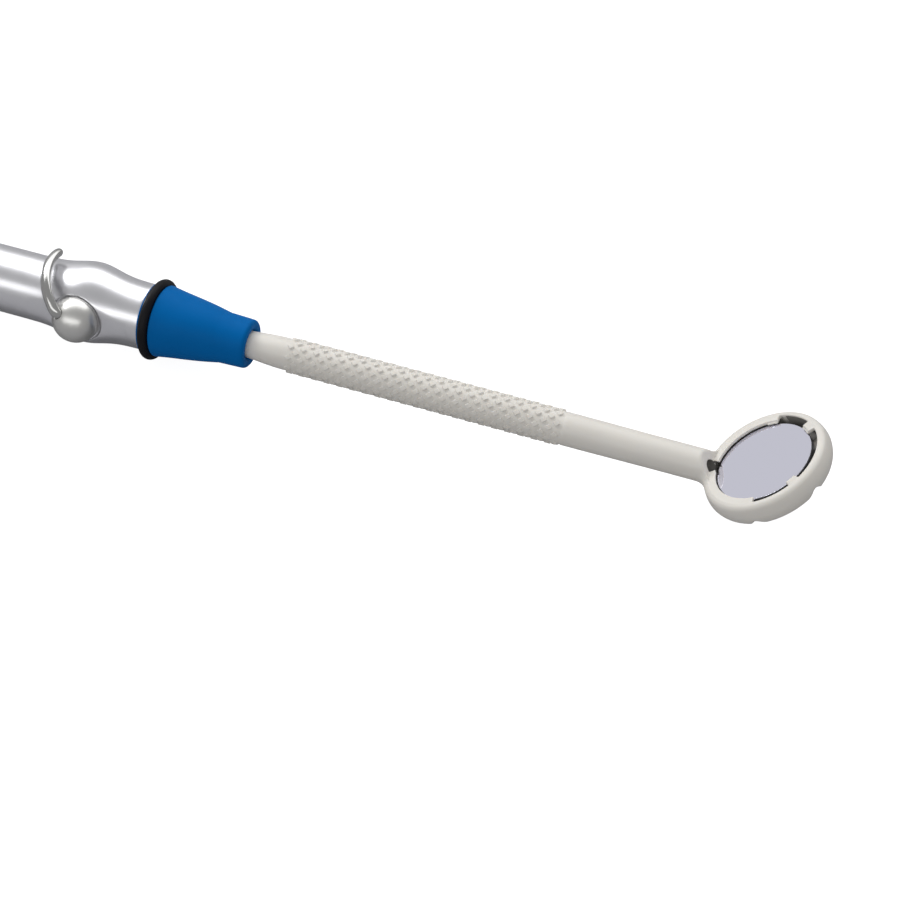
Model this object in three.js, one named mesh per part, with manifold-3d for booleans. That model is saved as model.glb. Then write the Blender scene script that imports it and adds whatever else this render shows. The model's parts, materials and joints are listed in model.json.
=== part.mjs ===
// A suction mouth mirror on its handpiece, in millimetres, +Z up.
// The handle's axis runs along X, from the hose connector (-X) to the mirror's head (+X).
// Stations along the axis are measured from the handpiece's front face, forwards.
// The head has its own frame: u away from the handle in the plane of the glass, v along Y,
// w out of the glass. The handpiece and its valve are rolled a little about the axis.
import * as THREE from "three";
import { mergeVertices } from "three/addons/utils/BufferGeometryUtils.js";
import Module from "manifold-3d";

const wasm = await Module();
wasm.setup();

// Fits
const RUN = 0.1; // between a piece and what turns or slides on it
const SEAT = 0.1; // between two pieces that are fitted together
const GLASS_PLAY = 0.2; // the glass's, under the lip and tabs
const CORNER_PLAY = 0.05; // added round a faceted piece in a round bore
const ROUND = 24; // flats round a turned piece
const HEAD_ROUND = 40; // round the head
const SEAL_ROUND = 8; // round a seal's section

// Mirror: handle
const TIP_RADIUS = 3.25; // the plain end that plugs into the adapter
const TIP_LENGTH = 15; // its straight stretch
const TAPER_LENGTH = 10; // from the tip up to the grip
const GRIP_RADIUS = 4.35; // over the raised studs
const STUD_HEIGHT = 0.45;
const GRIP_LENGTH = 69.8;
const NECK_RADIUS = 3.85; // at the head
const NECK_SWELL = 0.12; // how much thicker the neck is at the grip
const NECK_LENGTH = 46.2; // from the grip to the centre of the glass, along the axis
const HANDLE_BORE = 1.65;

// Mirror: head
const HEAD_TILT = 34.2; // degrees between the glass and the handle's axis
const HEAD_BACK = 6.2; // from the glass to the back of the rim
const HEAD_RISE = 7.0; // from the axis up to the centre of the glass
const GLASS_RADIUS = 11.6;
const GLASS_THICKNESS = 1.6;
const GLASS_BEVEL = 0.3;
const LIP_HEIGHT = 1.0; // the lip's front face above the glass
const LIP_RADIUS = GLASS_RADIUS + SEAT; // inside of the lip
const TAB_HOLD = 0.3; // how far the tabs that hold the glass reach in over it
const TAB_RADIUS = GLASS_RADIUS - TAB_HOLD;
const TAB_HEIGHT = 0.6; // their front faces above the glass, under the lip's
const CHANNEL_WIDTH = 1.6; // of the suction channel, outside the glass
const CHANNEL_RADIUS = GLASS_RADIUS + CHANNEL_WIDTH;
const RIM_WALL = 2.1; // outside the channel
const HEAD_RADIUS = CHANNEL_RADIUS + RIM_WALL;
const RIM_CREST = 3.6; // from the rim's outside in to the highest ring of its back
const CHANNEL_DEPTH = 3.0; // its floor, below the glass's front face
const SEAT_STEP = 1.1; // the glass overhangs its round seat by this
const SEAT_RADIUS = GLASS_RADIUS - SEAT_STEP;
const DISH_DEPTH = 1.9; // the hollow in the head's back
const SLOTS = [[-35, 33], [47, 86], [-86, -47]]; // degrees round the rim, 0 at its far end
const TABS = [[33, 47], [-47, -35], [86, 99]];
const BACK_HOLES = [30, -30, 90, -90]; // degrees
const BACK_HOLE_RADIUS = 1.9;
const BACK_HOLE_INSET = 0.3; // their middles inside the channel's outer wall
const BACK_HOLE_CIRCLE = CHANNEL_RADIUS - BACK_HOLE_INSET;

// Adapter
const MOUTH_STATION = 26.6; // the soft nose's end
const NOSE_RADIUS = 6.1;
const NOSE_LENGTH = 7;
const CONE_RADIUS = 9.0; // beside the ring
const INSERTION = 15.8; // how far the mirror's tip goes in
const GRIP_BORE_STOP = 0.4; // from the tip's end to the step that it meets
const STEM_RADIUS = 5.45; // an 11 mm suction port's plug
const STEM_LENGTH = 9;
const ADAPTER_BORE = 3.1;
const RING_SECTION = 2.4;
const RING_PROUD = 1.1; // the black ring stands out of the cone by this
const RING_RADIUS = CONE_RADIUS + RING_PROUD;
const LIP_THICKNESS = 0.3; // the thin blue lip behind the ring
const FACE_GAP = 0.15; // from the handpiece's front face to that lip

// Handpiece
const ROLL = 14; // degrees that the valve's near side is raised
const PORT_WALL = 2.75; // round the adapter's stem
const TUBE_RADIUS = STEM_RADIUS + PORT_WALL;
const BULGE_RISE = 1.85; // of the swelling round the valve
const BULGE_RADIUS = TUBE_RADIUS + BULGE_RISE;
const BULGE_SPREAD = 6.6;
const BODY_BACK = 46; // from the valve to the body's back end
const SUCTION_BORE = 3.55;
const PORT_SHOULDER = 0.3; // behind the adapter's stem
const VALVE_WALL = 1.4; // between the port and the valve's cross bore
const PORT_SEAL_STATIONS = [-2.6, -6.4];
const PORT_SEAL_SECTION = 1.6;
const FLAT_STEP = 0.1; // the valve's side flats, outside the tube
const FLAT_OFFSET = TUBE_RADIUS + FLAT_STEP;

// Valve
const PLUG_RADIUS = 5.4;
const VALVE_STATION = -(STEM_LENGTH + PORT_SHOULDER + VALVE_WALL + PLUG_RADIUS);
const PLUG_RECESS = 0.9; // its ends, under the side flats
const PLUG_HALF = FLAT_OFFSET - PLUG_RECESS; // half of its length
const PLUG_SEAL_INSET = 1.7; // its seals, from its ends
const PLUG_SEAL_OFFSET = PLUG_HALF - PLUG_SEAL_INSET;
const PLUG_SEAL_SECTION = 1.2;
const COUNTERSINK_STEP = 0.9; // wider than the plug by this
const COUNTERSINK_RADIUS = PLUG_RADIUS + COUNTERSINK_STEP;
const KNOB_GAP = 0.45; // round the ball on the plug's near end, in the countersink
const KNOB_RADIUS = COUNTERSINK_RADIUS - KNOB_GAP;
const KNOB_SPIGOT_RADIUS = 2.4;
const KNOB_SPIGOT_LENGTH = 2.2;
const COUNTERSINK_DEPTH = 0.7; // under the side flats
const COUNTERSINK_CHAMFER = 0.7;
const CHAMFER_CLEAR = 1.7; // how far past the side flat the chamfer's cone is cut
const WASHER_GAP = 0.3; // round the washer under the retaining screw, on the plug's far end
const WASHER_RADIUS = COUNTERSINK_RADIUS - WASHER_GAP;
const WASHER_THICKNESS = 0.5;
const SCREW_HEAD_RADIUS = 3.6;
const SCREW_HEAD_HEIGHT = 1.4;
const SCREW_SLOT = 0.8;
const SCREW_RADIUS = 1.6;
const SCREW_LENGTH = 2.6;
const LEVER_WIDTH = 3.0; // across the lever's plane
const LEVER_DEPTH = 2.3;
const LEVER_OUT = 3.8; // where the lever is furthest out beside the flat
const LEVER_REACH = FLAT_OFFSET + LEVER_OUT;
const LEVER_OVER = 4.45; // its middle line over the body
const LEVER_ARCH = BULGE_RADIUS + LEVER_OVER;
const LEVER_ROOT = 1.9; // its root, inside its furthest reach
const LEVER_PAST = 10; // degrees that its end goes past the top
const LEVER_FOOT = 1.2; // where its root sits in the ball
const LEVER_LEAN = 42; // degrees, towards the hose

// Hose swivel
const THREAD_LENGTH = 6;
const SPIGOT_RADIUS = 5.95;
const SPIGOT_LENGTH = 13;
const SWIVEL_SEAL_SECTION = 1.5;
const SWIVEL_SEAL_BACK = 6; // from the body's back end into the spigot's seat
const COLLAR_LENGTH = 3;
const SLIP_WASHER = 0.6; // the swivel washer's thickness
const NUT_LIP = 2;
const BARB_ROOT = 5.2;
const BARB_CREST = 6.0;
const COLLAR_STEP = 0.8; // outside the spigot and the barbs
const COLLAR_RADIUS = Math.max(SPIGOT_RADIUS + RUN / 2, BARB_CREST) + COLLAR_STEP;
const NUT_SLIP = 0.2; // the nut's thread passes over the collar by this
const THREAD_RADIUS = COLLAR_RADIUS + NUT_SLIP;
const NUT_WALL = 1.6;
const NUT_RADIUS = THREAD_RADIUS + NUT_WALL;
const BARB_COUNT = 4;
const BARB_PITCH = 3.8;
const BARB_FLAT = 0.6; // the plain root in front of each barb's crest
const BARB_DROP = 0.2; // from crest to root, along the axis
const BARB_CLEAR = 1.5; // from the last barb to the nut
const HOSE_BORE = 3.8;

const rad = THREE.MathUtils.degToRad;

// A closed geometry as a solid that can be joined and cut.
function solid(geometry) {
  const bare = geometry.clone();
  bare.deleteAttribute("normal");
  bare.deleteAttribute("uv");
  const merged = mergeVertices(bare, 1e-4);
  const vertProperties = merged.attributes.position.array;
  const triVerts = new Uint32Array(merged.index.array);
  return new wasm.Manifold(new wasm.Mesh({ numProp: 3, vertProperties, triVerts }));
}

function geometryOf(body) {
  const { vertProperties, triVerts } = body.getMesh();
  const geometry = new THREE.BufferGeometry();
  geometry.setAttribute("position", new THREE.BufferAttribute(vertProperties, 3));
  geometry.setIndex(new THREE.BufferAttribute(triVerts, 1));
  const flat = geometry.toNonIndexed();
  flat.computeVertexNormals();
  return flat;
}

// Points of an arc in a profile, from one angle to another in degrees.
function arc(station, radius, size, from, to, steps) {
  return Array.from({ length: steps + 1 }, (_, i) => {
    const angle = rad(from + ((to - from) * i) / steps);
    return [station + size * Math.cos(angle), radius + size * Math.sin(angle)];
  });
}

// Turns a profile of [station, radius] points about X. A profile's outside runs towards +X.
function turned(profile, sides = ROUND) {
  const points = profile.map(([station, radius]) => new THREE.Vector2(radius, station));
  return new THREE.LatheGeometry(points, sides).rotateZ(-Math.PI / 2);
}

// The same for a hollow piece, whose profile closes on itself.
function turnedHollow(profile, sides = ROUND) {
  return turned([...profile, profile[0]], sides);
}

function cylinder(from, to, radius, sides = ROUND) {
  return turned([[from, 0], [from, radius], [to, radius], [to, 0]], sides);
}

// A seal of round section.
function oRing(station, outside, section, sides = ROUND) {
  const size = section / 2;
  const step = 360 / SEAL_ROUND;
  return turnedHollow(arc(station, outside - size, size, 180, step - 180, SEAL_ROUND - 1), sides);
}

// From a piece turned about X to one turned about Y, or about w in the head's frame.
const aboutY = (geometry) => geometry.rotateZ(Math.PI / 2);
const aboutW = (geometry) => geometry.rotateY(-Math.PI / 2);

const root = new THREE.Group();

function node(name, parent, geometry, color, roughness, metalness) {
  const material = new THREE.MeshStandardMaterial({ color, roughness, metalness });
  const mesh = new THREE.Mesh(geometry, material);
  mesh.name = name;
  parent.add(mesh);
  return mesh;
}

const IVORY = [0xdedbd4, 0.55, 0];
const BLUE = [0x00508f, 0.5, 0];
const BLACK = [0x191a1e, 0.45, 0];
const SATIN = [0xc8c8d0, 0.35, 1];
const NICKEL = [0xc4c4c2, 0.3, 1];
const POLISHED = [0xd8d8d8, 0.12, 1];

// Stations that several pieces share
const tipStation = MOUTH_STATION - INSERTION;
const gripStart = tipStation + TIP_LENGTH + TAPER_LENGTH;
const gripEnd = gripStart + GRIP_LENGTH;
const glassStation = gripEnd + NECK_LENGTH;
const bodyBack = VALVE_STATION - BODY_BACK;

// The head's frame in the handle's.
const headMatrix = new THREE.Matrix4()
  .makeTranslation(glassStation, 0, HEAD_RISE)
  .multiply(new THREE.Matrix4().makeRotationY(-rad(HEAD_TILT)));

// A sector of the lip between two angles and two radii, from one height to another.
function sector([from, to], inside, outside, low, high) {
  const shape = new THREE.Shape();
  shape.absarc(0, 0, outside, rad(from), rad(to), false);
  shape.absarc(0, 0, inside, rad(to), rad(from), true);
  const steps = Math.ceil(Math.abs(to - from) / 8);
  const geometry = new THREE.ExtrudeGeometry(shape, {
    depth: high - low,
    bevelEnabled: false,
    curveSegments: steps,
  });
  return solid(geometry.translate(0, 0, low));
}

function headOutline() {
  const crest = HEAD_RADIUS - RIM_CREST;
  return [
    [-HEAD_BACK + DISH_DEPTH, 0],
    [-HEAD_BACK + DISH_DEPTH * 0.88, crest * 0.3],
    [-HEAD_BACK + DISH_DEPTH * 0.5, crest * 0.62],
    [-HEAD_BACK + DISH_DEPTH * 0.14, crest * 0.85],
    [-HEAD_BACK, crest],
    [-HEAD_BACK + 0.5, crest + 1.6],
    [-HEAD_BACK + 1.6, crest + 2.8],
    [-HEAD_BACK + 3.2, HEAD_RADIUS - 0.1],
    [-HEAD_BACK + 4.6, HEAD_RADIUS],
    [LIP_HEIGHT - 1.0, HEAD_RADIUS - 0.35],
    [LIP_HEIGHT - 0.3, HEAD_RADIUS - 0.85],
    [LIP_HEIGHT, HEAD_RADIUS - 1.5],
    [LIP_HEIGHT, 0],
  ];
}

function handleOutline() {
  const neckRadius = (part) => NECK_RADIUS + NECK_SWELL * (1 - part);
  const neckEnd = glassStation - HEAD_RADIUS * 0.45;
  const taper = [0.15, 0.35, 0.6, 0.85].map((part) => [
    tipStation + TIP_LENGTH + TAPER_LENGTH * part,
    TIP_RADIUS + (GRIP_RADIUS - STUD_HEIGHT - TIP_RADIUS) * Math.sin((Math.PI / 2) * part),
  ]);
  return [
    [tipStation, 0],
    [tipStation, TIP_RADIUS - 0.3],
    [tipStation + 0.3, TIP_RADIUS],
    [tipStation + TIP_LENGTH, TIP_RADIUS],
    ...taper,
    [gripStart, GRIP_RADIUS - STUD_HEIGHT],
    [gripStart + 0.4, GRIP_RADIUS],
    [gripEnd - 0.4, GRIP_RADIUS],
    [gripEnd, neckRadius(0) + 0.1],
    [gripEnd + NECK_LENGTH * 0.3, neckRadius(0.5)],
    [gripEnd + NECK_LENGTH * 0.6, neckRadius(1)],
    [neckEnd, neckRadius(1)],
    [neckEnd, 0],
  ];
}

function mirrorBody() {
  const inHead = (geometry) => solid(aboutW(geometry));
  const placed = (body) => body.transform(headMatrix.elements);
  const hollow = [
    inHead(cylinder(LIP_HEIGHT, LIP_HEIGHT + HEAD_RADIUS, CHANNEL_RADIUS, HEAD_ROUND)),
    inHead(cylinder(-CHANNEL_DEPTH, GLASS_PLAY, CHANNEL_RADIUS, HEAD_ROUND)),
    inHead(cylinder(-GLASS_THICKNESS, LIP_HEIGHT + 1, LIP_RADIUS, HEAD_ROUND)),
    ...SLOTS.map((slot) => sector(slot, TAB_RADIUS, CHANNEL_RADIUS, 0, LIP_HEIGHT + 1)),
    ...BACK_HOLES.map((angle) => {
      const hole = cylinder(-HEAD_BACK - 1, -CHANNEL_DEPTH + 0.4, BACK_HOLE_RADIUS, 20);
      const turn = rad(angle);
      const [u, v] = [Math.cos(turn) * BACK_HOLE_CIRCLE, Math.sin(turn) * BACK_HOLE_CIRCLE];
      return solid(aboutW(hole).translate(u, v, 0));
    }),
  ];
  const seatTop = -GLASS_THICKNESS - SEAT;
  const seat = inHead(cylinder(-CHANNEL_DEPTH - 0.5, seatTop, SEAT_RADIUS, HEAD_ROUND));
  const tabs = TABS.map((tab) =>
    sector(tab, TAB_RADIUS, CHANNEL_RADIUS + 0.5, GLASS_PLAY, TAB_HEIGHT),
  );
  const boreEnd = glassStation - SEAT_RADIUS * Math.cos(rad(HEAD_TILT));
  const bore = solid(cylinder(tipStation - 1, boreEnd, HANDLE_BORE, 24));
  let body = solid(turned(handleOutline())).add(
    placed(inHead(turned(headOutline(), HEAD_ROUND))),
  );
  for (const cut of hollow) body = body.subtract(placed(cut));
  for (const piece of [seat, ...tabs]) body = body.add(placed(piece));
  return body.subtract(bore);
}

function mirrorGlass() {
  const profile = [
    [-GLASS_THICKNESS, 0],
    [-GLASS_THICKNESS, GLASS_RADIUS],
    [-GLASS_BEVEL, GLASS_RADIUS],
    [0, GLASS_RADIUS - GLASS_BEVEL],
    [0, 0],
  ];
  return aboutW(turned(profile, HEAD_ROUND)).applyMatrix4(headMatrix);
}

node("mirror_body", root, geometryOf(mirrorBody()), ...IVORY);
node("mirror_glass", root, mirrorGlass(), 0xbebecb, 0.03, 1);

// Adapter: a stem in the handpiece's port, a ring seat, a hollow-sided cone and a soft nose.
const ringGroove = RING_SECTION / 2 + SEAT;
const ringStation = FACE_GAP + LIP_THICKNESS + ringGroove;

function adapterProfile() {
  const ringFloor = RING_RADIUS - RING_SECTION - SEAT;
  const coneStart = ringStation + ringGroove;
  const coneLength = MOUTH_STATION - NOSE_LENGTH - coneStart;
  const cone = [0.2, 0.4, 0.6, 0.8, 1].map((part) => {
    const fall = Math.pow(part, 0.9) * (1 - 0.12 * Math.sin(Math.PI * part));
    return [
      coneStart + coneLength * part,
      CONE_RADIUS + (NOSE_RADIUS + 0.15 - CONE_RADIUS) * THREE.MathUtils.clamp(fall, 0, 1),
    ];
  });
  const lipBack = FACE_GAP;
  const step = tipStation - GRIP_BORE_STOP;
  return [
    [-STEM_LENGTH, ADAPTER_BORE],
    [-STEM_LENGTH, STEM_RADIUS - 0.5],
    [-STEM_LENGTH + 0.5, STEM_RADIUS],
    [lipBack, STEM_RADIUS],
    [lipBack, CONE_RADIUS],
    [lipBack + LIP_THICKNESS, CONE_RADIUS],
    [lipBack + LIP_THICKNESS, ringFloor],
    [coneStart, ringFloor],
    [coneStart, CONE_RADIUS],
    ...cone,
    [MOUTH_STATION - 1.2, NOSE_RADIUS],
    [MOUTH_STATION - 0.35, NOSE_RADIUS - 0.35],
    [MOUTH_STATION, NOSE_RADIUS - 1.2],
    [MOUTH_STATION, TIP_RADIUS + 0.7],
    [MOUTH_STATION - 0.8, TIP_RADIUS + RUN],
    [step, TIP_RADIUS + RUN],
    [step, ADAPTER_BORE],
  ];
}

node("adapter_cone", root, turnedHollow(adapterProfile()), ...BLUE);
node("adapter_ring", root, oRing(ringStation, RING_RADIUS, RING_SECTION), ...BLACK);

// Handpiece and everything on it, rolled about the axis
const handpiece = new THREE.Group();
handpiece.rotation.x = -rad(ROLL);
root.add(handpiece);

const outsideOf = (offset) =>
  TUBE_RADIUS + (BULGE_RADIUS - TUBE_RADIUS) * Math.exp(-((offset / BULGE_SPREAD) ** 2));

function handpieceBody() {
  const portRadius = STEM_RADIUS + RUN + CORNER_PLAY;
  const portEnd = -STEM_LENGTH - PORT_SHOULDER;
  const groove = PORT_SEAL_SECTION / 2 + SEAT;
  const grooveFloor = STEM_RADIUS + RUN + PORT_SEAL_SECTION + SEAT;
  const seatEnd = bodyBack + SPIGOT_LENGTH + 1;
  const shoulder = bodyBack + THREAD_LENGTH;
  const bulge = [-16, -12, -9, -6.5, -4, -2, 0, 2, 4, 6.5, 9, 12].map((offset) => [
    VALVE_STATION + offset,
    outsideOf(offset),
  ]);
  const grooves = PORT_SEAL_STATIONS.flatMap((station) => [
    [station + groove, portRadius],
    [station + groove, grooveFloor],
    [station - groove, grooveFloor],
    [station - groove, portRadius],
  ]);
  const profile = [
    [bodyBack, SPIGOT_RADIUS + RUN + CORNER_PLAY],
    [bodyBack, THREAD_RADIUS - 0.4],
    [bodyBack + 0.4, THREAD_RADIUS],
    [shoulder, THREAD_RADIUS],
    [shoulder, TUBE_RADIUS - 0.3],
    [shoulder + 0.3, TUBE_RADIUS],
    ...bulge,
    [-0.6, TUBE_RADIUS + 0.05],
    [0, TUBE_RADIUS - 0.5],
    [0, portRadius],
    ...grooves,
    [portEnd, portRadius],
    [portEnd, SUCTION_BORE],
    [seatEnd, SUCTION_BORE],
    [seatEnd, SPIGOT_RADIUS + RUN + CORNER_PLAY],
  ];
  const across = (from, to, radius, end = radius) =>
    aboutY(turned([[from, 0], [from, radius], [to, end], [to, 0]]));
  const crossBore = across(-BULGE_RADIUS, BULGE_RADIUS, PLUG_RADIUS + RUN);
  const cuts = [crossBore];
  for (const side of [1, -1]) {
    const flat = new THREE.BoxGeometry(2 * BULGE_SPREAD * 3, BULGE_RADIUS, 3 * BULGE_RADIUS);
    cuts.push(flat.translate(0, side * (FLAT_OFFSET + BULGE_RADIUS / 2), 0));
    const chamferFoot = FLAT_OFFSET - COUNTERSINK_CHAMFER / 2;
    const chamferTop = FLAT_OFFSET + CHAMFER_CLEAR;
    const chamferWide = COUNTERSINK_RADIUS + COUNTERSINK_CHAMFER / 2 + CHAMFER_CLEAR;
    const sink = across(FLAT_OFFSET - COUNTERSINK_DEPTH, BULGE_RADIUS, COUNTERSINK_RADIUS);
    const chamfer = across(chamferFoot, chamferTop, COUNTERSINK_RADIUS, chamferWide);
    for (const cut of [sink, chamfer]) cuts.push(side > 0 ? cut : cut.rotateZ(Math.PI));
  }
  let body = solid(turnedHollow(profile));
  for (const cut of cuts) body = body.subtract(solid(cut.translate(VALVE_STATION, 0, 0)));
  return body;
}

node("handpiece_body", handpiece, geometryOf(handpieceBody()), ...SATIN);
PORT_SEAL_STATIONS.forEach((station, i) => {
  const outside = STEM_RADIUS + RUN + PORT_SEAL_SECTION;
  const name = ["port_seal_front", "port_seal_back"][i];
  node(name, handpiece, oRing(station, outside, PORT_SEAL_SECTION), ...BLACK);
});

// Valve: a cross plug that turns about its own axis, with a ball and lever on its near end
// and a screw and washer that hold it in on its far end.
const valve = new THREE.Group();
valve.position.x = VALVE_STATION;
handpiece.add(valve);

function valvePlug() {
  const groove = PLUG_SEAL_SECTION / 2 + SEAT;
  const floor = PLUG_RADIUS - PLUG_SEAL_SECTION - SEAT;
  const end = PLUG_HALF;
  const grooveAt = (offset) => [
    [offset - groove, PLUG_RADIUS],
    [offset - groove, floor],
    [offset + groove, floor],
    [offset + groove, PLUG_RADIUS],
  ];
  const knobSocket = KNOB_SPIGOT_RADIUS + SEAT;
  const screwSocket = SCREW_RADIUS + SEAT;
  const profile = [
    [-end + KNOB_SPIGOT_LENGTH + SEAT, 0],
    [-end + KNOB_SPIGOT_LENGTH + SEAT, knobSocket],
    [-end, knobSocket],
    [-end, PLUG_RADIUS],
    ...grooveAt(-PLUG_SEAL_OFFSET),
    ...grooveAt(PLUG_SEAL_OFFSET),
    [end, PLUG_RADIUS],
    [end, screwSocket],
    [end - SCREW_LENGTH - SEAT, screwSocket],
    [end - SCREW_LENGTH - SEAT, 0],
  ];
  const waterway = cylinder(-PLUG_RADIUS - 1, PLUG_RADIUS + 1, SUCTION_BORE);
  return solid(aboutY(turned(profile))).subtract(solid(waterway));
}

// The lever's middle line in its own plane, X out beside the body and Y over it.
function leverPath() {
  const points = [
    [LEVER_REACH - LEVER_ROOT, LEVER_FOOT],
    [LEVER_REACH - LEVER_ROOT / 3, LEVER_FOOT + 1.7],
  ];
  for (let angle = 20; angle <= 90 + LEVER_PAST; angle += 10) {
    const part = Math.sin(rad(angle));
    const radius = LEVER_REACH + (LEVER_ARCH - LEVER_REACH) * part ** 0.6;
    points.push([radius * Math.cos(rad(angle)), radius * part]);
  }
  return new THREE.CatmullRomCurve3(points.map(([x, y]) => new THREE.Vector3(x, y, 0)));
}

function lever(play = 0) {
  const section = new THREE.Shape();
  section.absellipse(0, 0, LEVER_WIDTH / 2 + play, LEVER_DEPTH / 2 + play, 0, 2 * Math.PI, false, 0);
  const arm = new THREE.ExtrudeGeometry(section, {
    steps: 24,
    curveSegments: 6,
    bevelEnabled: false,
    extrudePath: leverPath(),
  });
  return arm.rotateX(Math.PI / 2).rotateZ(-Math.PI / 2).rotateY(-rad(LEVER_LEAN));
}

// The ball, seated in the countersink, pressed into the plug and slotted for the lever.
function ballKnob() {
  const foot = PLUG_HALF + SEAT;
  const seatFace = FLAT_OFFSET - COUNTERSINK_DEPTH + SEAT;
  const profile = [
    [PLUG_HALF - KNOB_SPIGOT_LENGTH, 0],
    [PLUG_HALF - KNOB_SPIGOT_LENGTH, KNOB_SPIGOT_RADIUS],
    [foot, KNOB_SPIGOT_RADIUS],
    [Math.max(foot, seatFace), KNOB_RADIUS],
    ...arc(FLAT_OFFSET, 0, KNOB_RADIUS, 90, 0, 8).slice(0, -1),
    [FLAT_OFFSET + KNOB_RADIUS, 0],
  ];
  const ball = aboutY(turned(profile)).rotateZ(Math.PI);
  return solid(ball).subtract(solid(lever(SEAT)));
}

// Where the washer lies, from the handle's axis outwards on the far side.
const washerFace = Math.max(PLUG_HALF, FLAT_OFFSET - COUNTERSINK_DEPTH) + SEAT;

function retainingWasher() {
  const hole = SCREW_RADIUS + SEAT;
  return turnedHollow([
    [washerFace, hole],
    [washerFace, WASHER_RADIUS],
    [washerFace + WASHER_THICKNESS, WASHER_RADIUS],
    [washerFace + WASHER_THICKNESS, hole],
  ]);
}

function retainingScrew() {
  const under = washerFace + WASHER_THICKNESS + SEAT;
  const top = under + SCREW_HEAD_HEIGHT;
  const turnedBody = turned([
    [PLUG_HALF - SCREW_LENGTH, 0],
    [PLUG_HALF - SCREW_LENGTH, SCREW_RADIUS],
    [under, SCREW_RADIUS],
    [under, SCREW_HEAD_RADIUS],
    [top - 0.5, SCREW_HEAD_RADIUS],
    [top, SCREW_HEAD_RADIUS - 0.6],
    [top, 0],
  ]);
  const slot = new THREE.BoxGeometry(SCREW_HEAD_HEIGHT, 2 * SCREW_HEAD_RADIUS + 1, SCREW_SLOT);
  const cut = solid(slot.translate(top, 0, 0));
  return aboutY(geometryOf(solid(turnedBody).subtract(cut)));
}

const plugSeal = (offset) => aboutY(oRing(offset, PLUG_RADIUS, PLUG_SEAL_SECTION));
node("valve_plug", valve, geometryOf(valvePlug()), ...SATIN);
node("plug_seal_near", valve, plugSeal(-PLUG_SEAL_OFFSET), ...BLACK);
node("plug_seal_far", valve, plugSeal(PLUG_SEAL_OFFSET), ...BLACK);
node("ball_knob", valve, geometryOf(ballKnob()), ...NICKEL);
node("lever", valve, lever(), ...POLISHED);
node("retaining_washer", valve, aboutY(retainingWasher()), ...NICKEL);
node("retaining_screw", valve, retainingScrew(), ...POLISHED);

// Hose swivel: a connector whose collar turns between the body's back end and a nut.
const collarFront = bodyBack - SEAT;
const collarBack = collarFront - COLLAR_LENGTH;
const washerBack = collarBack - SEAT - SLIP_WASHER;
const nutLipFront = washerBack - SEAT;
const nutBack = nutLipFront - NUT_LIP;

function hoseConnector() {
  const spigotEnd = bodyBack + SPIGOT_LENGTH;
  const groove = SWIVEL_SEAL_SECTION / 2 + SEAT;
  const sealStation = bodyBack + SWIVEL_SEAL_BACK;
  const floor = SPIGOT_RADIUS + RUN / 2 - SWIVEL_SEAL_SECTION - SEAT;
  const barbs = Array.from({ length: BARB_COUNT }, (_, i) => {
    const start = nutBack - BARB_CLEAR - BARB_PITCH * (BARB_COUNT - i);
    const crest = start + BARB_PITCH - BARB_FLAT - BARB_DROP;
    return [
      [start, BARB_ROOT],
      [crest, BARB_CREST],
      [crest + BARB_DROP, BARB_ROOT],
    ];
  }).flat();
  return [
    ...barbs.slice(0, 1).map(([station]) => [station, HOSE_BORE]),
    ...barbs,
    [collarBack, BARB_ROOT],
    [collarBack, COLLAR_RADIUS],
    [collarFront, COLLAR_RADIUS],
    [collarFront, SPIGOT_RADIUS],
    [sealStation - groove, SPIGOT_RADIUS],
    [sealStation - groove, floor],
    [sealStation + groove, floor],
    [sealStation + groove, SPIGOT_RADIUS],
    [spigotEnd - 0.4, SPIGOT_RADIUS],
    [spigotEnd, SPIGOT_RADIUS - 0.4],
    [spigotEnd, HOSE_BORE],
  ];
}

function tailNut() {
  const front = bodyBack + THREAD_LENGTH - SEAT;
  const inside = THREAD_RADIUS + SEAT;
  return [
    [nutBack, BARB_CREST + RUN],
    [nutBack, NUT_RADIUS - 0.8],
    [nutBack + 0.8, NUT_RADIUS],
    [front - 0.5, NUT_RADIUS],
    [front, NUT_RADIUS - 0.4],
    [front, inside],
    [nutLipFront, inside],
    [nutLipFront, BARB_CREST + RUN],
  ];
}

function swivelWasher() {
  const inside = BARB_CREST + RUN;
  const outside = COLLAR_RADIUS - SEAT;
  return [
    [washerBack, inside],
    [washerBack, outside],
    [washerBack + SLIP_WASHER, outside],
    [washerBack + SLIP_WASHER, inside],
  ];
}

const swivelSeal = oRing(bodyBack + SWIVEL_SEAL_BACK, SPIGOT_RADIUS + RUN / 2, SWIVEL_SEAL_SECTION);
node("hose_connector", handpiece, turnedHollow(hoseConnector()), ...SATIN);
node("swivel_seal", handpiece, swivelSeal, ...BLACK);
node("swivel_washer", handpiece, turnedHollow(swivelWasher()), 0xe8e8e4, 0.5, 0);
node("tail_nut", handpiece, turnedHollow(tailNut()), ...SATIN);

// The part stands on Z = 0, with its box centred over the origin.
const box = new THREE.Box3().setFromObject(root, true);
root.position.set(-(box.min.x + box.max.x) / 2, -(box.min.y + box.max.y) / 2, -box.min.z);

export default root;
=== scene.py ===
"""The looks of a suction mouth mirror on its handpiece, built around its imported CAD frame.

Shapes are worked out in millimetres and turned into metres when a piece is made. The handle's
axis runs along X. The head has its own frame: u away from the handle in the plane of the glass,
v along Y and w out of the glass. The handpiece has its own frame too, rolled about the axis,
with x measured from its front face.
"""

import json
import math

import bmesh
import bpy
import numpy as np
from mathutils import Matrix, Vector

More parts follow.
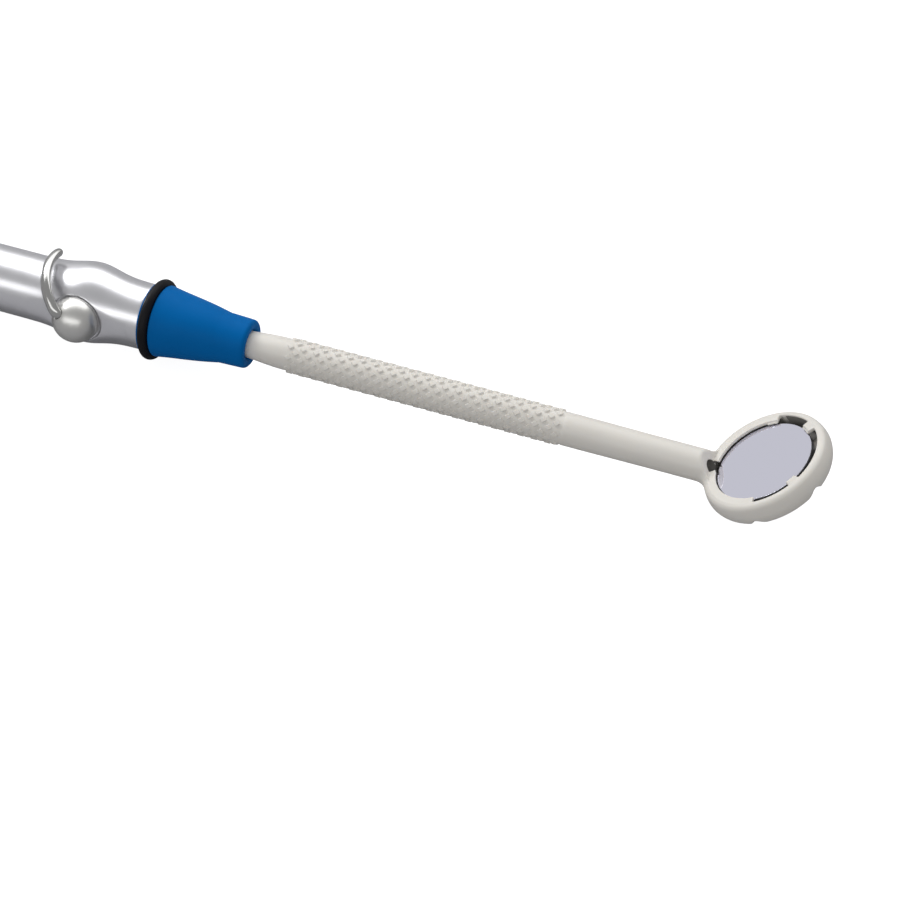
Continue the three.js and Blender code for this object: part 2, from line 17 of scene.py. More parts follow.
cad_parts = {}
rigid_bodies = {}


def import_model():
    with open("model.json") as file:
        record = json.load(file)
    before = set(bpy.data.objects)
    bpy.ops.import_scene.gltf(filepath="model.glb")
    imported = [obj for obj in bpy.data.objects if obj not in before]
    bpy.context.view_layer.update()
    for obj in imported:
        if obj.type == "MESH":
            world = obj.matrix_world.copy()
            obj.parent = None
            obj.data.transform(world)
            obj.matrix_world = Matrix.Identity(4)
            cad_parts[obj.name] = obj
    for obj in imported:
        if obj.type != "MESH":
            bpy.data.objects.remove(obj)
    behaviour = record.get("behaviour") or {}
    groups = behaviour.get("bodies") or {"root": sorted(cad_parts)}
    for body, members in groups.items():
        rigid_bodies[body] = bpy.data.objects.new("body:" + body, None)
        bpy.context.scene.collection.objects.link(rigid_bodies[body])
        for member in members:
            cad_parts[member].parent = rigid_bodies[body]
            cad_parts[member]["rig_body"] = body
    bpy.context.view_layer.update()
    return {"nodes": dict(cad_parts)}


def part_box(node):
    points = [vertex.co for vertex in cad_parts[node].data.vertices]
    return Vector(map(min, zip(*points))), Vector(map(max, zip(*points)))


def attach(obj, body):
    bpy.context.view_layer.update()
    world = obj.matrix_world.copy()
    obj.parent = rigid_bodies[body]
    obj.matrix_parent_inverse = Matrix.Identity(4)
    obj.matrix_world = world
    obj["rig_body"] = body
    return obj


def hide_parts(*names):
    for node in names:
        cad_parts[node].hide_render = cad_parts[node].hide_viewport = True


MM = 0.001

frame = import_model()


def box_mm(node):
    """A node's lowest and highest corners, in millimetres."""
    low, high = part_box(node)
    return np.array(low) / MM, np.array(high) / MM


# ---------------------------------------------------------------- sizes, in millimetres

# Mirror: handle
TIP_RADIUS = 3.25
TIP_LENGTH = 15
TAPER_LENGTH = 10
GRIP_RADIUS = 4.35
STUD_HEIGHT = 0.45
GRIP_LENGTH = 69.8
NECK_RADIUS = 3.85
NECK_SWELL = 0.12
NECK_LENGTH = 46.2
HANDLE_BORE = 1.65
STUD_ROWS = 18  # round the grip
STUD_PITCH = 3.25  # along the grip, from a stud to the next one in its row
STUD_SHARE = 0.48  # a stud's width over the distance to the next one
STUD_SLOPE = 0.04  # the width of its side, in the same measure
STUD_ROUND = 0.035  # and of its rounded edge

# Mirror: head
HEAD_TILT = math.radians(34.2)
HEAD_RADIUS = 15.27
HEAD_BACK = 6.2
HEAD_RISE = 7.0
GLASS_RADIUS = 11.6
GLASS_THICKNESS = 1.6
GLASS_BEVEL = 0.16
GLASS_PLAY = 0.2  # under the lip and tabs
LIP_HEIGHT = 1.0
LIP_RADIUS = 11.7
TAB_RADIUS = 11.3
TAB_HEIGHT = 0.6
CHANNEL_RADIUS = 13.2
RIM_CREST = 3.6  # from the rim's outside in to the highest ring of its back
CHANNEL_DEPTH = 3.0
SEAT_RADIUS = 10.5
DISH_DEPTH = 1.9
SLOTS = ((-35, 33), (47, 86), (-86, -47))  # degrees round the rim
TABS = ((33, 47), (-47, -35), (86, 99))
BACK_HOLES = (30, -30, 90, -90)
BACK_HOLE_RADIUS = 1.9
BACK_HOLE_CIRCLE = 12.9
PAINTED_SHADE_TOP = -0.35  # the painted shade on the faces of the channel and bore ends here, below the glass's face
NECK_FILLET = 2.2
NECK_CUT = 17.0  # from the glass's centre to where the head's own surface takes over
EDGE_ROUND = 0.22
HEAD_CELL = 0.17  # the grid that the head's surface is taken from
HEAD_KEPT = 0.36  # the share of its faces that is kept

# Adapter
NOSE_RADIUS = 6.1
NOSE_LENGTH = 7
CONE_RADIUS = 9.0
GRIP_BORE_STOP = 0.4
STEM_RADIUS = 5.45
STEM_LENGTH = 9
ADAPTER_BORE = 3.1
RING_SECTION = 2.4
RING_RADIUS = 10.1
LIP_THICKNESS = 0.3
FACE_GAP = 0.15

# Handpiece
ROLL = math.radians(14)
TUBE_RADIUS = 8.2
BULGE_RADIUS = 10.05
BULGE_SPREAD = 6.6
SUCTION_BORE = 3.55
PORT_SHOULDER = 0.3
PORT_SEAL_SECTION = 1.6
FLAT_OFFSET = 8.3
VALVE_REACH = 13.0  # the stretch of body that the valve's cuts are made in, either side
BODY_CELL = 0.15
BODY_KEPT = 0.55

# Valve
PLUG_RADIUS = 5.4
PLUG_HALF = 7.4
PLUG_SEAL_OFFSET = 5.7
PLUG_SEAL_SECTION = 1.2
KNOB_RADIUS = 5.85
KNOB_SPIGOT_RADIUS = 2.4
KNOB_SPIGOT_LENGTH = 2.2
COUNTERSINK_RADIUS = 6.3
COUNTERSINK_DEPTH = 0.7
COUNTERSINK_CHAMFER = 0.7
WASHER_RADIUS = 6.0
WASHER_THICKNESS = 0.5
SCREW_HEAD_RADIUS = 3.6
SCREW_HEAD_HEIGHT = 1.4
SCREW_SLOT = 0.8
SCREW_RADIUS = 1.6
SCREW_LENGTH = 2.6
LEVER_WIDTH = 3.0
LEVER_DEPTH = 2.3
LEVER_REACH = 12.1
LEVER_ARCH = 14.5
LEVER_PAST = 10
LEVER_FOOT = 1.2
LEVER_LEAN = math.radians(42)
LEVER_END = 0.93  # its section at the ends, over the middle's
LEVER_END_ROUND = 1.25
LEVER_SIDES = 40
SLOT_HOLD = 0.95  # the ball's slot for the lever's root, over the lever's section

# Hose swivel
THREAD_RADIUS = 7.0
THREAD_LENGTH = 6
THREAD_PITCH = 0.8
THREAD_DEPTH = 0.4
THREAD_PLAIN = 0.7  # its plain stretch at either end
SPIGOT_RADIUS = 5.95
SPIGOT_LENGTH = 13
SWIVEL_SEAL_SECTION = 1.5
SWIVEL_SEAL_BACK = 6
COLLAR_RADIUS = 6.8
COLLAR_LENGTH = 3
SLIP_WASHER = 0.6
NUT_LIP = 2
NUT_RADIUS = 8.6
NUT_FLUTES = 36
FLUTE_DEPTH = 0.28
BARB_ROOT = 5.2
BARB_CREST = 6.0
BARB_COUNT = 4
BARB_PITCH = 3.8
BARB_GAP = 1.5  # from the nut to the first barb
BARB_REST = 0.8  # of the pitch, beyond a barb's crest
BARB_DROP = 0.2  # of that, its steep side
HOSE_BORE = 3.8

RUN = 0.1  # between a piece and what turns or slides on it
SEAT = 0.1  # between two pieces that are fitted together
CORNER_PLAY = 0.05  # added round a piece that is faceted in the frame
STRIP = 0.1  # half the gap between two stretches of surface, which a strip of triangles closes
FINE = 96  # flats round a turned piece
INNER_FINE = 64  # round a seal that is out of sight
HANDLE_SIDES = 72
RING_SIDES = 24  # round a seal's section

# ---------------------------------------------------------------- places, from the frame

AXIS_Z = float(sum(corner[2] for corner in box_mm("adapter_cone")) / 2)
FACE_X = float(box_mm("handpiece_body")[1][0])
BODY_BACK = float(box_mm("handpiece_body")[0][0]) - FACE_X
VALVE_X = float(sum(corner[0] for corner in box_mm("valve_plug")) / 2) - FACE_X
MOUTH_X = float(box_mm("adapter_cone")[1][0])
TIP_X = float(box_mm("mirror_body")[0][0])
GRIP_X = TIP_X + TIP_LENGTH + TAPER_LENGTH
GRIP_END_X = GRIP_X + GRIP_LENGTH
GLASS_X = GRIP_END_X + NECK_LENGTH
NECK_CUT_X = GLASS_X - NECK_CUT

COS_TILT, SIN_TILT = math.cos(HEAD_TILT), math.sin(HEAD_TILT)


def head_to_frame(points):
    """From (u, v, w) to the part's frame."""
    u, v, w = np.asarray(points, float).T
    x = GLASS_X + u * COS_TILT - w * SIN_TILT
    z = AXIS_Z + HEAD_RISE + u * SIN_TILT + w * COS_TILT
    return np.stack([x, v, z], 1)


def handpiece_to_frame(points):
    """From the handpiece's rolled frame to the part's frame."""
    x, y, z = np.asarray(points, float).T
    turned_y = y * math.cos(ROLL) + z * math.sin(ROLL)
    turned_z = -y * math.sin(ROLL) + z * math.cos(ROLL)
    return np.stack([FACE_X + x, turned_y, AXIS_Z + turned_z], 1)


def valve_to_frame(points):
    """From the valve's frame, on the plug's axis, to the part's frame."""
    return handpiece_to_frame(np.asarray(points, float) + (VALVE_X, 0, 0))


def turn_to_y(points):
    """From a piece turned about X to the same one turned about Y, pointing to the near side."""
    x, y, z = np.asarray(points, float).T
    return np.stack([y, -x, z], 1)


# ---------------------------------------------------------------- surfaces


class Skin:
    """Vertices and faces, gathered from several stretches of surface."""

    def __init__(self):
        self.blocks = []
        self.faces = []
        self.count = 0

    def add(self, points):
        points = np.asarray(points, float).reshape(-1, 3)
        first = self.count
        self.blocks.append(points)
        self.count += len(points)
        return np.arange(first, self.count)

    def points(self):
        return np.concatenate(self.blocks)

    def loft(self, rings):
        """Joins rings of equal size into a tube. Gives the indices of each ring's points."""
        rows = [self.add(ring) for ring in rings]
        for low, high in zip(rows, rows[1:]):
            self.band(low, high)
        return rows

    def band(self, low, high):
        quads = np.stack([low, np.roll(low, -1), np.roll(high, -1), high], 1)
        self.faces.extend(quads.tolist())

    def cap(self, ring, point):
        """Closes a ring with a fan to one point."""
        pole = int(self.add([point])[0])
        for a, b in zip(ring, np.roll(ring, -1)):
            self.faces.append([int(a), int(b), pole])

    def zip(self, one, other):
        """Joins two rings of different sizes, going round the X axis by angle."""
        points = self.points()

        def by_angle(ring):
            angle = np.arctan2(points[ring][:, 2] - AXIS_Z, points[ring][:, 1])
            order = np.argsort(angle)
            return np.asarray(ring)[order], angle[order]

        ring_a, angle_a = by_angle(one)
        ring_b, angle_b = by_angle(other)
        i = j = 0
        while i < len(ring_a) or j < len(ring_b):
            next_a = angle_a[i + 1] if i + 1 < len(ring_a) else angle_a[0] + math.tau
            next_b = angle_b[j + 1] if j + 1 < len(ring_b) else angle_b[0] + math.tau
            a, b = ring_a[i % len(ring_a)], ring_b[j % len(ring_b)]
            on_a = j >= len(ring_b) or (i < len(ring_a) and next_a <= next_b)
            i, j = i + on_a, j + (not on_a)
            third = ring_a[i % len(ring_a)] if on_a else ring_b[j % len(ring_b)]
            self.faces.append([int(a), int(third), int(b)])

    def join(self, points, faces):
        first = self.count
        self.add(points)
        self.faces.extend([[first + i for i in face] for face in faces])
        return first


def rounded(corners, closed=False, steps=6):
    """An outline from (station, radius, fillet) corners, with an arc at each corner."""
    corners = [corner if len(corner) == 3 else (*corner, 0) for corner in corners]
    line = []
    for i, (x, r, fillet) in enumerate(corners):
        at_end = not closed and i in (0, len(corners) - 1)
        if fillet <= 0 or at_end:
            line.append((x, r))
            continue
        here = np.array([x, r])
        back = np.array(corners[i - 1][:2]) - here
        ahead = np.array(corners[(i + 1) % len(corners)][:2]) - here
        room = 0.49 * min(np.linalg.norm(back), np.linalg.norm(ahead))
        back, ahead = back / np.linalg.norm(back), ahead / np.linalg.norm(ahead)
        half = math.acos(float(np.clip(back @ ahead, -1, 1))) / 2
        if half > math.radians(88):
            line.append((x, r))
            continue
        reach = min(fillet / math.tan(half), room)
        radius = reach * math.tan(half)
        middle = (back + ahead) / np.linalg.norm(back + ahead)
        centre = here + middle * radius / math.sin(half)
        start, end = here + back * reach - centre, here + ahead * reach - centre
        whole = math.acos(float(np.clip(start @ end / radius**2, -1, 1)))
        for step in range(steps + 1):
            part = step / steps
            spoke = math.sin((1 - part) * whole) * start + math.sin(part * whole) * end
            line.append(tuple(centre + spoke / math.sin(whole)))
    return line


def smooth_line(points, steps=8):
    """A Catmull-Rom curve through the points."""
    points = np.asarray(points, float)
    ends = np.concatenate([[2 * points[0] - points[1]], points, [2 * points[-1] - points[-2]]])
    line = [points[0]]
    for a, b, c, d in zip(ends, ends[1:], ends[2:], ends[3:]):
        for step in range(1, steps + 1):
            t = step / steps
            bend = 2 * a - 5 * b + 4 * c - d, -a + 3 * b - 3 * c + d
            line.append(0.5 * (2 * b + (c - a) * t + bend[0] * t**2 + bend[1] * t**3))
    return np.array(line)


def ring_points(x, radius, sides, wave=None):
    angle = np.arange(sides) * math.tau / sides
    reach = radius if wave is None else radius + wave(x, angle)
    return np.stack([np.full(sides, x), reach * np.cos(angle), reach * np.sin(angle)], 1)


def turned(profile, sides=FINE, closed=False):
    """A skin turned about X from a profile of (station, radius)."""
    skin = Skin()
    rows = skin.loft([ring_points(x, r, sides) for x, r in profile if r > 1e-6])
    if closed:
        skin.band(rows[-1], rows[0])
    else:
        skin.cap(rows[0], (profile[0][0], 0, 0))
        skin.cap(rows[-1], (profile[-1][0], 0, 0))
    return skin


def sleeve(corners):
    """A tubular skin turned about X from the (station, radius, fillet) corners of its wall."""
    return turned(rounded(corners, closed=True), closed=True)


def washer(back, thickness, hole, outside, edge):
    """A flat ring with its front's outer edge rounded."""
    front = back + thickness
    rear = [(back, hole, 0.05), (back, outside, 0.1)]
    return sleeve([*rear, (front, outside, edge), (front, hole, 0.05)])


def seal(station, outside, section, sides=FINE):
    """A ring of round section about X."""
    size = section / 2
    angle = np.arange(RING_SIDES) * math.tau / RING_SIDES
    profile = [(station + size * math.cos(a), outside - size + size * math.sin(a)) for a in angle]
    return turned(profile, sides, closed=True)


def on_axis(profile, sides=FINE):
    """Rings about the handle's axis, one to each (station, radius)."""
    return [ring_points(x, r, sides) + (0, 0, AXIS_Z) for x, r in profile]


def groove(station, half, wall, floor):
    """The corners of a groove cut from a wall down to a floor."""
    return [
        (station + half, wall, 0.1),
        (station + half, floor, 0.1),
        (station - half, floor, 0.1),
        (station - half, wall, 0.1),
    ]


# A field is negative inside a solid. These join, cut and cross two of them with a fillet.


def joined(a, b, fillet=EDGE_ROUND):
    h = np.clip(0.5 + 0.5 * (b - a) / fillet, 0, 1)
    return b * (1 - h) + a * h - fillet * h * (1 - h)


def cut(a, b, fillet=EDGE_ROUND):
    return -joined(-a, b, fillet)


def crossed(a, b, fillet=EDGE_ROUND):
    return -joined(-a, -b, fillet)


def slab(value, low, high):
    return np.maximum(low - value, value - high)


def outline_field(outline, cell=0.04, margin=2.0):
    """The distance to a closed outline of (height, radius), as a quick function of both."""
    outline = np.asarray(outline, float)
    low, high = outline.min(0) - margin, outline.max(0) + margin
    heights = np.arange(low[0], high[0], cell)
    radii = np.arange(low[1], high[1], cell)
    at = np.stack(np.meshgrid(heights, radii, indexing="ij"), -1)
    best = np.full(at.shape[:2], np.inf)
    inside = np.zeros(at.shape[:2], bool)
    for a, b in zip(outline, np.roll(outline, -1, 0)):
        along = b - a
        length = along @ along
        if length < 1e-12:
            continue
        part = np.clip(((at - a) @ along) / length, 0, 1)
        away = at - a - part[..., None] * along
        best = np.minimum(best, (away**2).sum(-1))
        crosses = (a[1] > at[..., 1]) != (b[1] > at[..., 1])
        if along[1]:
            inside ^= crosses & (at[..., 0] < a[0] + (at[..., 1] - a[1]) * along[0] / along[1])
    table = np.where(inside, -1, 1) * np.sqrt(best)

    def field(height, radius):
        i = np.clip((height - low[0]) / cell, 0, len(heights) - 1.001)
        j = np.clip((radius - low[1]) / cell, 0, len(radii) - 1.001)
        i0, j0 = i.astype(int), j.astype(int)
        di, dj = i - i0, j - j0
        near = table[i0, j0] * (1 - di) + table[i0 + 1, j0] * di
        far = table[i0, j0 + 1] * (1 - di) + table[i0 + 1, j0 + 1] * di
        return near * (1 - dj) + far * dj

    return field


BLOCK = 16  # layers of the grid that are worked out at a time
CORNERS = [(i, j, k) for i in (0, 1) for j in (0, 1) for k in (0, 1)]
EDGES = [(a, b) for a in CORNERS for b in CORNERS if sorted(np.subtract(b, a)) == [0, 0, 1]]


def surface_net(field, low, high, cell):
    """The zero surface of a field, as points and quads, from a grid of cubes."""
    axes = [np.arange(a, b + cell, cell) for a, b in zip(low, high)]
    y, z = axes[1][None, :, None], axes[2][None, None, :]
    blocks = np.split(axes[0], range(BLOCK, len(axes[0]), BLOCK))
    values = np.concatenate([
        np.broadcast_to(field(x[:, None, None], y, z), (len(x), y.size, z.size)) for x in blocks
    ])
    inside = values < 0
    sizes = np.array(values.shape) - 1
    counts = sum(
        inside[tuple(slice(i, i + size) for i, size in zip(corner, sizes))].astype(np.int8)
        for corner in CORNERS
    )
    cells = np.argwhere((counts > 0) & (counts < 8))
    index = np.full(counts.shape, -1)
    index[tuple(cells.T)] = np.arange(len(cells))
    total, hits = np.zeros((len(cells), 3)), np.zeros(len(cells))
    for a, b in EDGES:
        va = values[tuple((cells + a).T)]
        vb = values[tuple((cells + b).T)]
        crossing = (va < 0) != (vb < 0)
        part = np.where(crossing, va / np.where(crossing, va - vb, 1), 0)
        spot = cells + np.array(a) + part[:, None] * np.subtract(b, a)
        total += np.where(crossing[:, None], spot, 0)
        hits += crossing
    points = total / hits[:, None] * cell + [axis[0] for axis in axes]
    quads = []
    for axis in range(3):
        second, third = (axis + 1) % 3, (axis + 2) % 3
        step = np.eye(3, dtype=int)
        near = [slice(None)] * 3
        far = [slice(None)] * 3
        near[axis], far[axis] = slice(0, -1), slice(1, None)
        crossing = inside[tuple(near)] != inside[tuple(far)]
        spots = np.argwhere(crossing)
        keep = (spots[:, second] > 0) & (spots[:, third] > 0)
        keep &= (spots[:, second] < counts.shape[second]) & (spots[:, third] < counts.shape[third])
        spots = spots[keep]
        beside, under = spots - step[second], spots - step[third]
        around = [beside - step[third], under, spots, beside]
        quad = np.stack([index[tuple(corner.T)] for corner in around], 1)
        outward = inside[tuple(spots.T)]
        quad[~outward] = quad[~outward][:, ::-1]
        quads.append(quad)
    return points, np.concatenate(quads)


def settled(field, points, cell, rounds=3):
    """Moves points onto the zero surface."""
    small = 0.02
    for _ in range(rounds):
        value = field(*points.T)
        slope = np.stack([
            (field(*(points + step).T) - field(*(points - step).T)) / (2 * small)
            for step in np.eye(3) * small
        ], 1)
        shift = slope * (value / np.maximum((slope**2).sum(1), 0.2))[:, None]
        points = points - np.clip(shift, -cell / 2, cell / 2)
    return points


def linked(name, data):
    made = bpy.data.objects.new(name, data)
    bpy.context.scene.collection.objects.link(made)
    return made


def grown(field, low, high, cell, place, kept):
    """A field's surface in the part's frame, without the faces that its flat places don't need."""
    points, quads = surface_net(field, low, high, cell)
    points = place(settled(field, points, cell))
    mesh = bpy.data.meshes.new("work")
    mesh.from_pydata(points.tolist(), [], quads.tolist())
    work = linked("work", mesh)
    thin = work.modifiers.new("thin", "DECIMATE")
    thin.ratio = kept
    bpy.context.view_layer.update()
    view = bpy.context.evaluated_depsgraph_get()
    thinned = bpy.data.meshes.new_from_object(work.evaluated_get(view))
    bpy.data.objects.remove(work)
    bpy.data.meshes.remove(mesh)
    return thinned


def sliced(mesh, planes):
    """Cuts a mesh off at planes across X, each a station and the side to keep.

    Gives the points, the faces and the indices of the points on open rims.
    """
    work = bmesh.new()
    work.from_mesh(mesh)
    bpy.data.meshes.remove(mesh)
    for station, side in planes:
        everything = work.verts[:] + work.edges[:] + work.faces[:]
        plane = {"plane_co": (station, 0, 0), "plane_no": (side, 0, 0)}
        bmesh.ops.bisect_plane(work, geom=everything, dist=1e-5, clear_inner=True, **plane)
    work.verts.index_update()
    points = np.array([v.co for v in work.verts])
    faces = [[v.index for v in face.verts] for face in work.faces]
    rims = np.array([v.index for v in work.verts if v.is_boundary], int)
    work.free()
    return points, faces, rims


def rim(points, rims, station, low, high):
    """The open rim at a station whose radius about the handle's axis lies in a range."""
    at = points[rims]
    radius = np.hypot(at[:, 1], at[:, 2] - AXIS_Z)
    return rims[(abs(at[:, 0] - station) < 0.01) & (radius > low) & (radius < high)]


def piece(name, body, slot, points, faces):
    """Makes the piece that replaces the node of its name, from points in millimetres."""
    mesh = bpy.data.meshes.new(name)
    whole_faces = [list(map(int, face)) for face in faces]
    mesh.from_pydata((np.asarray(points) * MM).tolist(), [], whole_faces)
    work = bmesh.new()
    work.from_mesh(mesh)
    bmesh.ops.dissolve_degenerate(work, dist=1e-7, edges=work.edges[:])
    bmesh.ops.recalc_face_normals(work, faces=work.faces[:])
    for face in work.faces:
        face.smooth = True
    work.to_mesh(mesh)
    work.free()
    mesh.materials.append(MATERIALS[slot])
    made = linked(name, mesh)
    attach(made, body)
    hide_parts(name)
    return made


def crisp(made, degrees):
    """Keeps edges sharper than an angle crisp."""
    work = bmesh.new()
    work.from_mesh(made.data)
    limit = math.radians(degrees)
    for edge in work.edges:
        edge.smooth = edge.calc_face_angle(0) < limit
    work.to_mesh(made.data)
    work.free()


# ---------------------------------------------------------------- materials


def set_sockets(node, values):
    for name, value in values.items():
        node.inputs[name].default_value = value


def shader(
    name, colour, roughness, metallic=0.0, spread=0.06, grain=3000, bump=0.02, tint=0.03, more=()
):
    """A material with a fine surface grain, and a little variation in gloss and colour.

    grain is how many grains there are to a metre, bump their height in tenths of a millimetre,
    and more holds what else is set on the shader.
    """
    material = bpy.data.materials.new(name)
    material.use_nodes = True
    nodes, links = material.node_tree.nodes, material.node_tree.links
    surface = nodes["Principled BSDF"]
    set_sockets(surface, {"Metallic": metallic, **dict(more)})
    where = nodes.new("ShaderNodeTexCoord")

    def noise(scale, detail):
        texture = nodes.new("ShaderNodeTexNoise")
        set_sockets(texture, {"Scale": scale, "Detail": detail})
        links.new(where.outputs["Object"], texture.inputs["Vector"])
        return texture.outputs["Fac"]

    def ranged(value, low, high):
        span = nodes.new("ShaderNodeMapRange")
        set_sockets(span, {"From Min": 0.3, "From Max": 0.7, "To Min": low, "To Max": high})
        links.new(value, span.inputs["Value"])
        return span.outputs["Result"]

    gloss = ranged(noise(grain / 12, 5), roughness - spread, roughness + spread)
    links.new(gloss, surface.inputs["Roughness"])
    shades = nodes.new("ShaderNodeMix")
    shades.data_type = "RGBA"
    shades.inputs["A"].default_value = (*[channel * (1 - tint) for channel in colour], 1)
    shades.inputs["B"].default_value = (*[min(channel * (1 + tint), 1) for channel in colour], 1)
    links.new(ranged(noise(grain / 40, 3), 0, 1), shades.inputs["Factor"])
    links.new(shades.outputs["Result"], surface.inputs["Base Color"])
    if bump:
        relief = nodes.new("ShaderNodeBump")
        set_sockets(relief, {"Strength": 1, "Distance": bump * 0.1 * MM})
        links.new(noise(grain, 4), relief.inputs["Height"])
        links.new(relief.outputs["Normal"], surface.inputs["Normal"])
    return material


def metal(name, colour, roughness, spread=0.01, grain=3000):
    return shader(name, colour, roughness, 1.0, spread=spread, grain=grain, bump=0, tint=0.004)


# Injection-moulded plastic is faintly translucent.
MOULDED = {
    "Subsurface Weight": 0.12,
    "Subsurface Radius": (1.0, 0.8, 0.6),
    "Subsurface Scale": 0.8 * MM,
    "IOR": 1.46,
}
SOFT = {"IOR": 1.41, "Specular IOR Level": 0.06}
RUBBER = {"Specular IOR Level": 0.16}
MATERIALS = {
    "ivory_plastic": shader(
        "ivory_plastic", (0.71, 0.685, 0.64), 0.42, grain=4200, bump=0.03, tint=0.012, more=MOULDED
    ),
    # Painted shade: a darker, duller ivory on the faces of the suction channel and the handle's
    # bore.
    "ivory_painted_shade": shader("ivory_painted_shade", (0.22, 0.21, 0.195), 0.55, bump=0),
    "blue_silicone": shader(
        "blue_silicone", (0.0, 0.12, 0.385), 0.5, grain=5200, bump=0.03, more=SOFT
    ),
    "black_rubber": shader(
        "black_rubber", (0.005, 0.005, 0.007), 0.5, grain=4500, bump=0.03, tint=0.08, more=RUBBER
    ),
    "satin_aluminium": metal("satin_aluminium", (0.81, 0.81, 0.84), 0.3),
    "satin_nickel": metal("satin_nickel", (0.70, 0.695, 0.675), 0.36),
    "polished_steel": metal("polished_steel", (0.52, 0.52, 0.51), 0.17),
    "mirror_glass": metal("mirror_glass", (0.86, 0.86, 0.985), 0.02, spread=0.008, grain=700),
    # Painted shade for the glass's side and for its bevel away from the handle.
    "glass_edge_painted_shade": shader("glass_edge_painted_shade", (0.05, 0.05, 0.055), 0.35, bump=0),
    "white_plastic": shader(
        "white_plastic", (0.82, 0.82, 0.80), 0.45, grain=3500, bump=0.04, tint=0.01
    ),
}

# ---------------------------------------------------------------- mirror: head


def head_outline():
    """The head's section from the middle of its dished back round to the middle of its front."""
    crest = HEAD_RADIUS - RIM_CREST
    back = [(1, 0), (0.88, crest * 0.3), (0.5, crest * 0.62), (0.14, crest * 0.85), (0, crest)]
    back = [(DISH_DEPTH * share, radius) for share, radius in back]
    back += [(0.5, crest + 1.6), (1.6, crest + 2.8)]
    back += [(3.2, HEAD_RADIUS - 0.12), (4.6, HEAD_RADIUS - 0.02)]
    front = [(-1.0, 0.35), (-0.3, 0.9), (0, 1.7)]
    line = smooth_line([
        *[(height - HEAD_BACK, radius) for height, radius in back],
        *[(LIP_HEIGHT + height, HEAD_RADIUS - inset) for height, inset in front],
    ])
    line[:, 1] = np.clip(line[:, 1], 0, HEAD_RADIUS)
    line[:, 0] = np.clip(line[:, 0], -HEAD_BACK, LIP_HEIGHT)
    whole = np.concatenate([line, [(LIP_HEIGHT, 0)]])
    # The mirrored half closes the outline across the axis.
    return np.concatenate([whole, whole[::-1] * (1, -1)])


HEAD_SECTION = outline_field(head_outline())


def head_field(u, v, w):
    radius = np.hypot(u, v)
    angle = np.degrees(np.arctan2(v, u))
    along = u * COS_TILT - w * SIN_TILT
    height = HEAD_RISE + u * SIN_TILT + w * COS_TILT
    from_axis = np.hypot(v, height)

    def sector(span):
        middle, half = sum(span) / 2, (span[1] - span[0]) / 2
        return (abs((angle - middle + 180) % 360 - 180) - half) * np.radians(1) * radius

    def disc(size, low, high):
        return np.maximum(radius - size, slab(w, low, high))

    neck = crossed(from_axis - NECK_RADIUS, CHANNEL_RADIUS - radius, 0.7)
    neck = np.maximum(neck, along + HEAD_RADIUS * 0.45)
    body = joined(HEAD_SECTION(w + 0 * radius, radius + 0 * w), neck, NECK_FILLET)
    body = cut(body, disc(CHANNEL_RADIUS, LIP_HEIGHT, 60), 0.1)
    cavity = disc(CHANNEL_RADIUS, -CHANNEL_DEPTH, GLASS_PLAY)
    cavity = np.minimum(cavity, disc(LIP_RADIUS, -GLASS_THICKNESS, 60))
    for slot in SLOTS:
        gap = np.maximum(radius - CHANNEL_RADIUS, slab(w, 0, 60))
        cavity = np.minimum(cavity, crossed(sector(slot), gap, 0.3))
    body = cut(body, cavity)
    for tab in TABS:
        reach = slab(radius, TAB_RADIUS, CHANNEL_RADIUS + 0.5)
        finger = np.maximum(reach, slab(w, GLASS_PLAY, TAB_HEIGHT))
        body = joined(body, crossed(sector(tab), finger), EDGE_ROUND)
    body = joined(body, disc(SEAT_RADIUS, -CHANNEL_DEPTH - 0.5, -GLASS_THICKNESS - SEAT))
    for hole in BACK_HOLES:
        turn = math.radians(hole)
        middle = BACK_HOLE_CIRCLE * math.cos(turn), BACK_HOLE_CIRCLE * math.sin(turn)
        across = np.hypot(u - middle[0], v - middle[1])
        drill = np.maximum(across - BACK_HOLE_RADIUS, slab(w, -60, -CHANNEL_DEPTH + 0.4))
        body = cut(body, drill, 0.45)
    bore = np.maximum(from_axis - HANDLE_BORE, along + SEAT_RADIUS * COS_TILT)
    return cut(body, bore, 0.3)


# ---------------------------------------------------------------- mirror: handle


def neck_radius(x):
    part = np.clip((x - GRIP_END_X) / (0.55 * NECK_LENGTH), 0, 1)
    return NECK_RADIUS + NECK_SWELL * (1 - part * part * (3 - 2 * part))


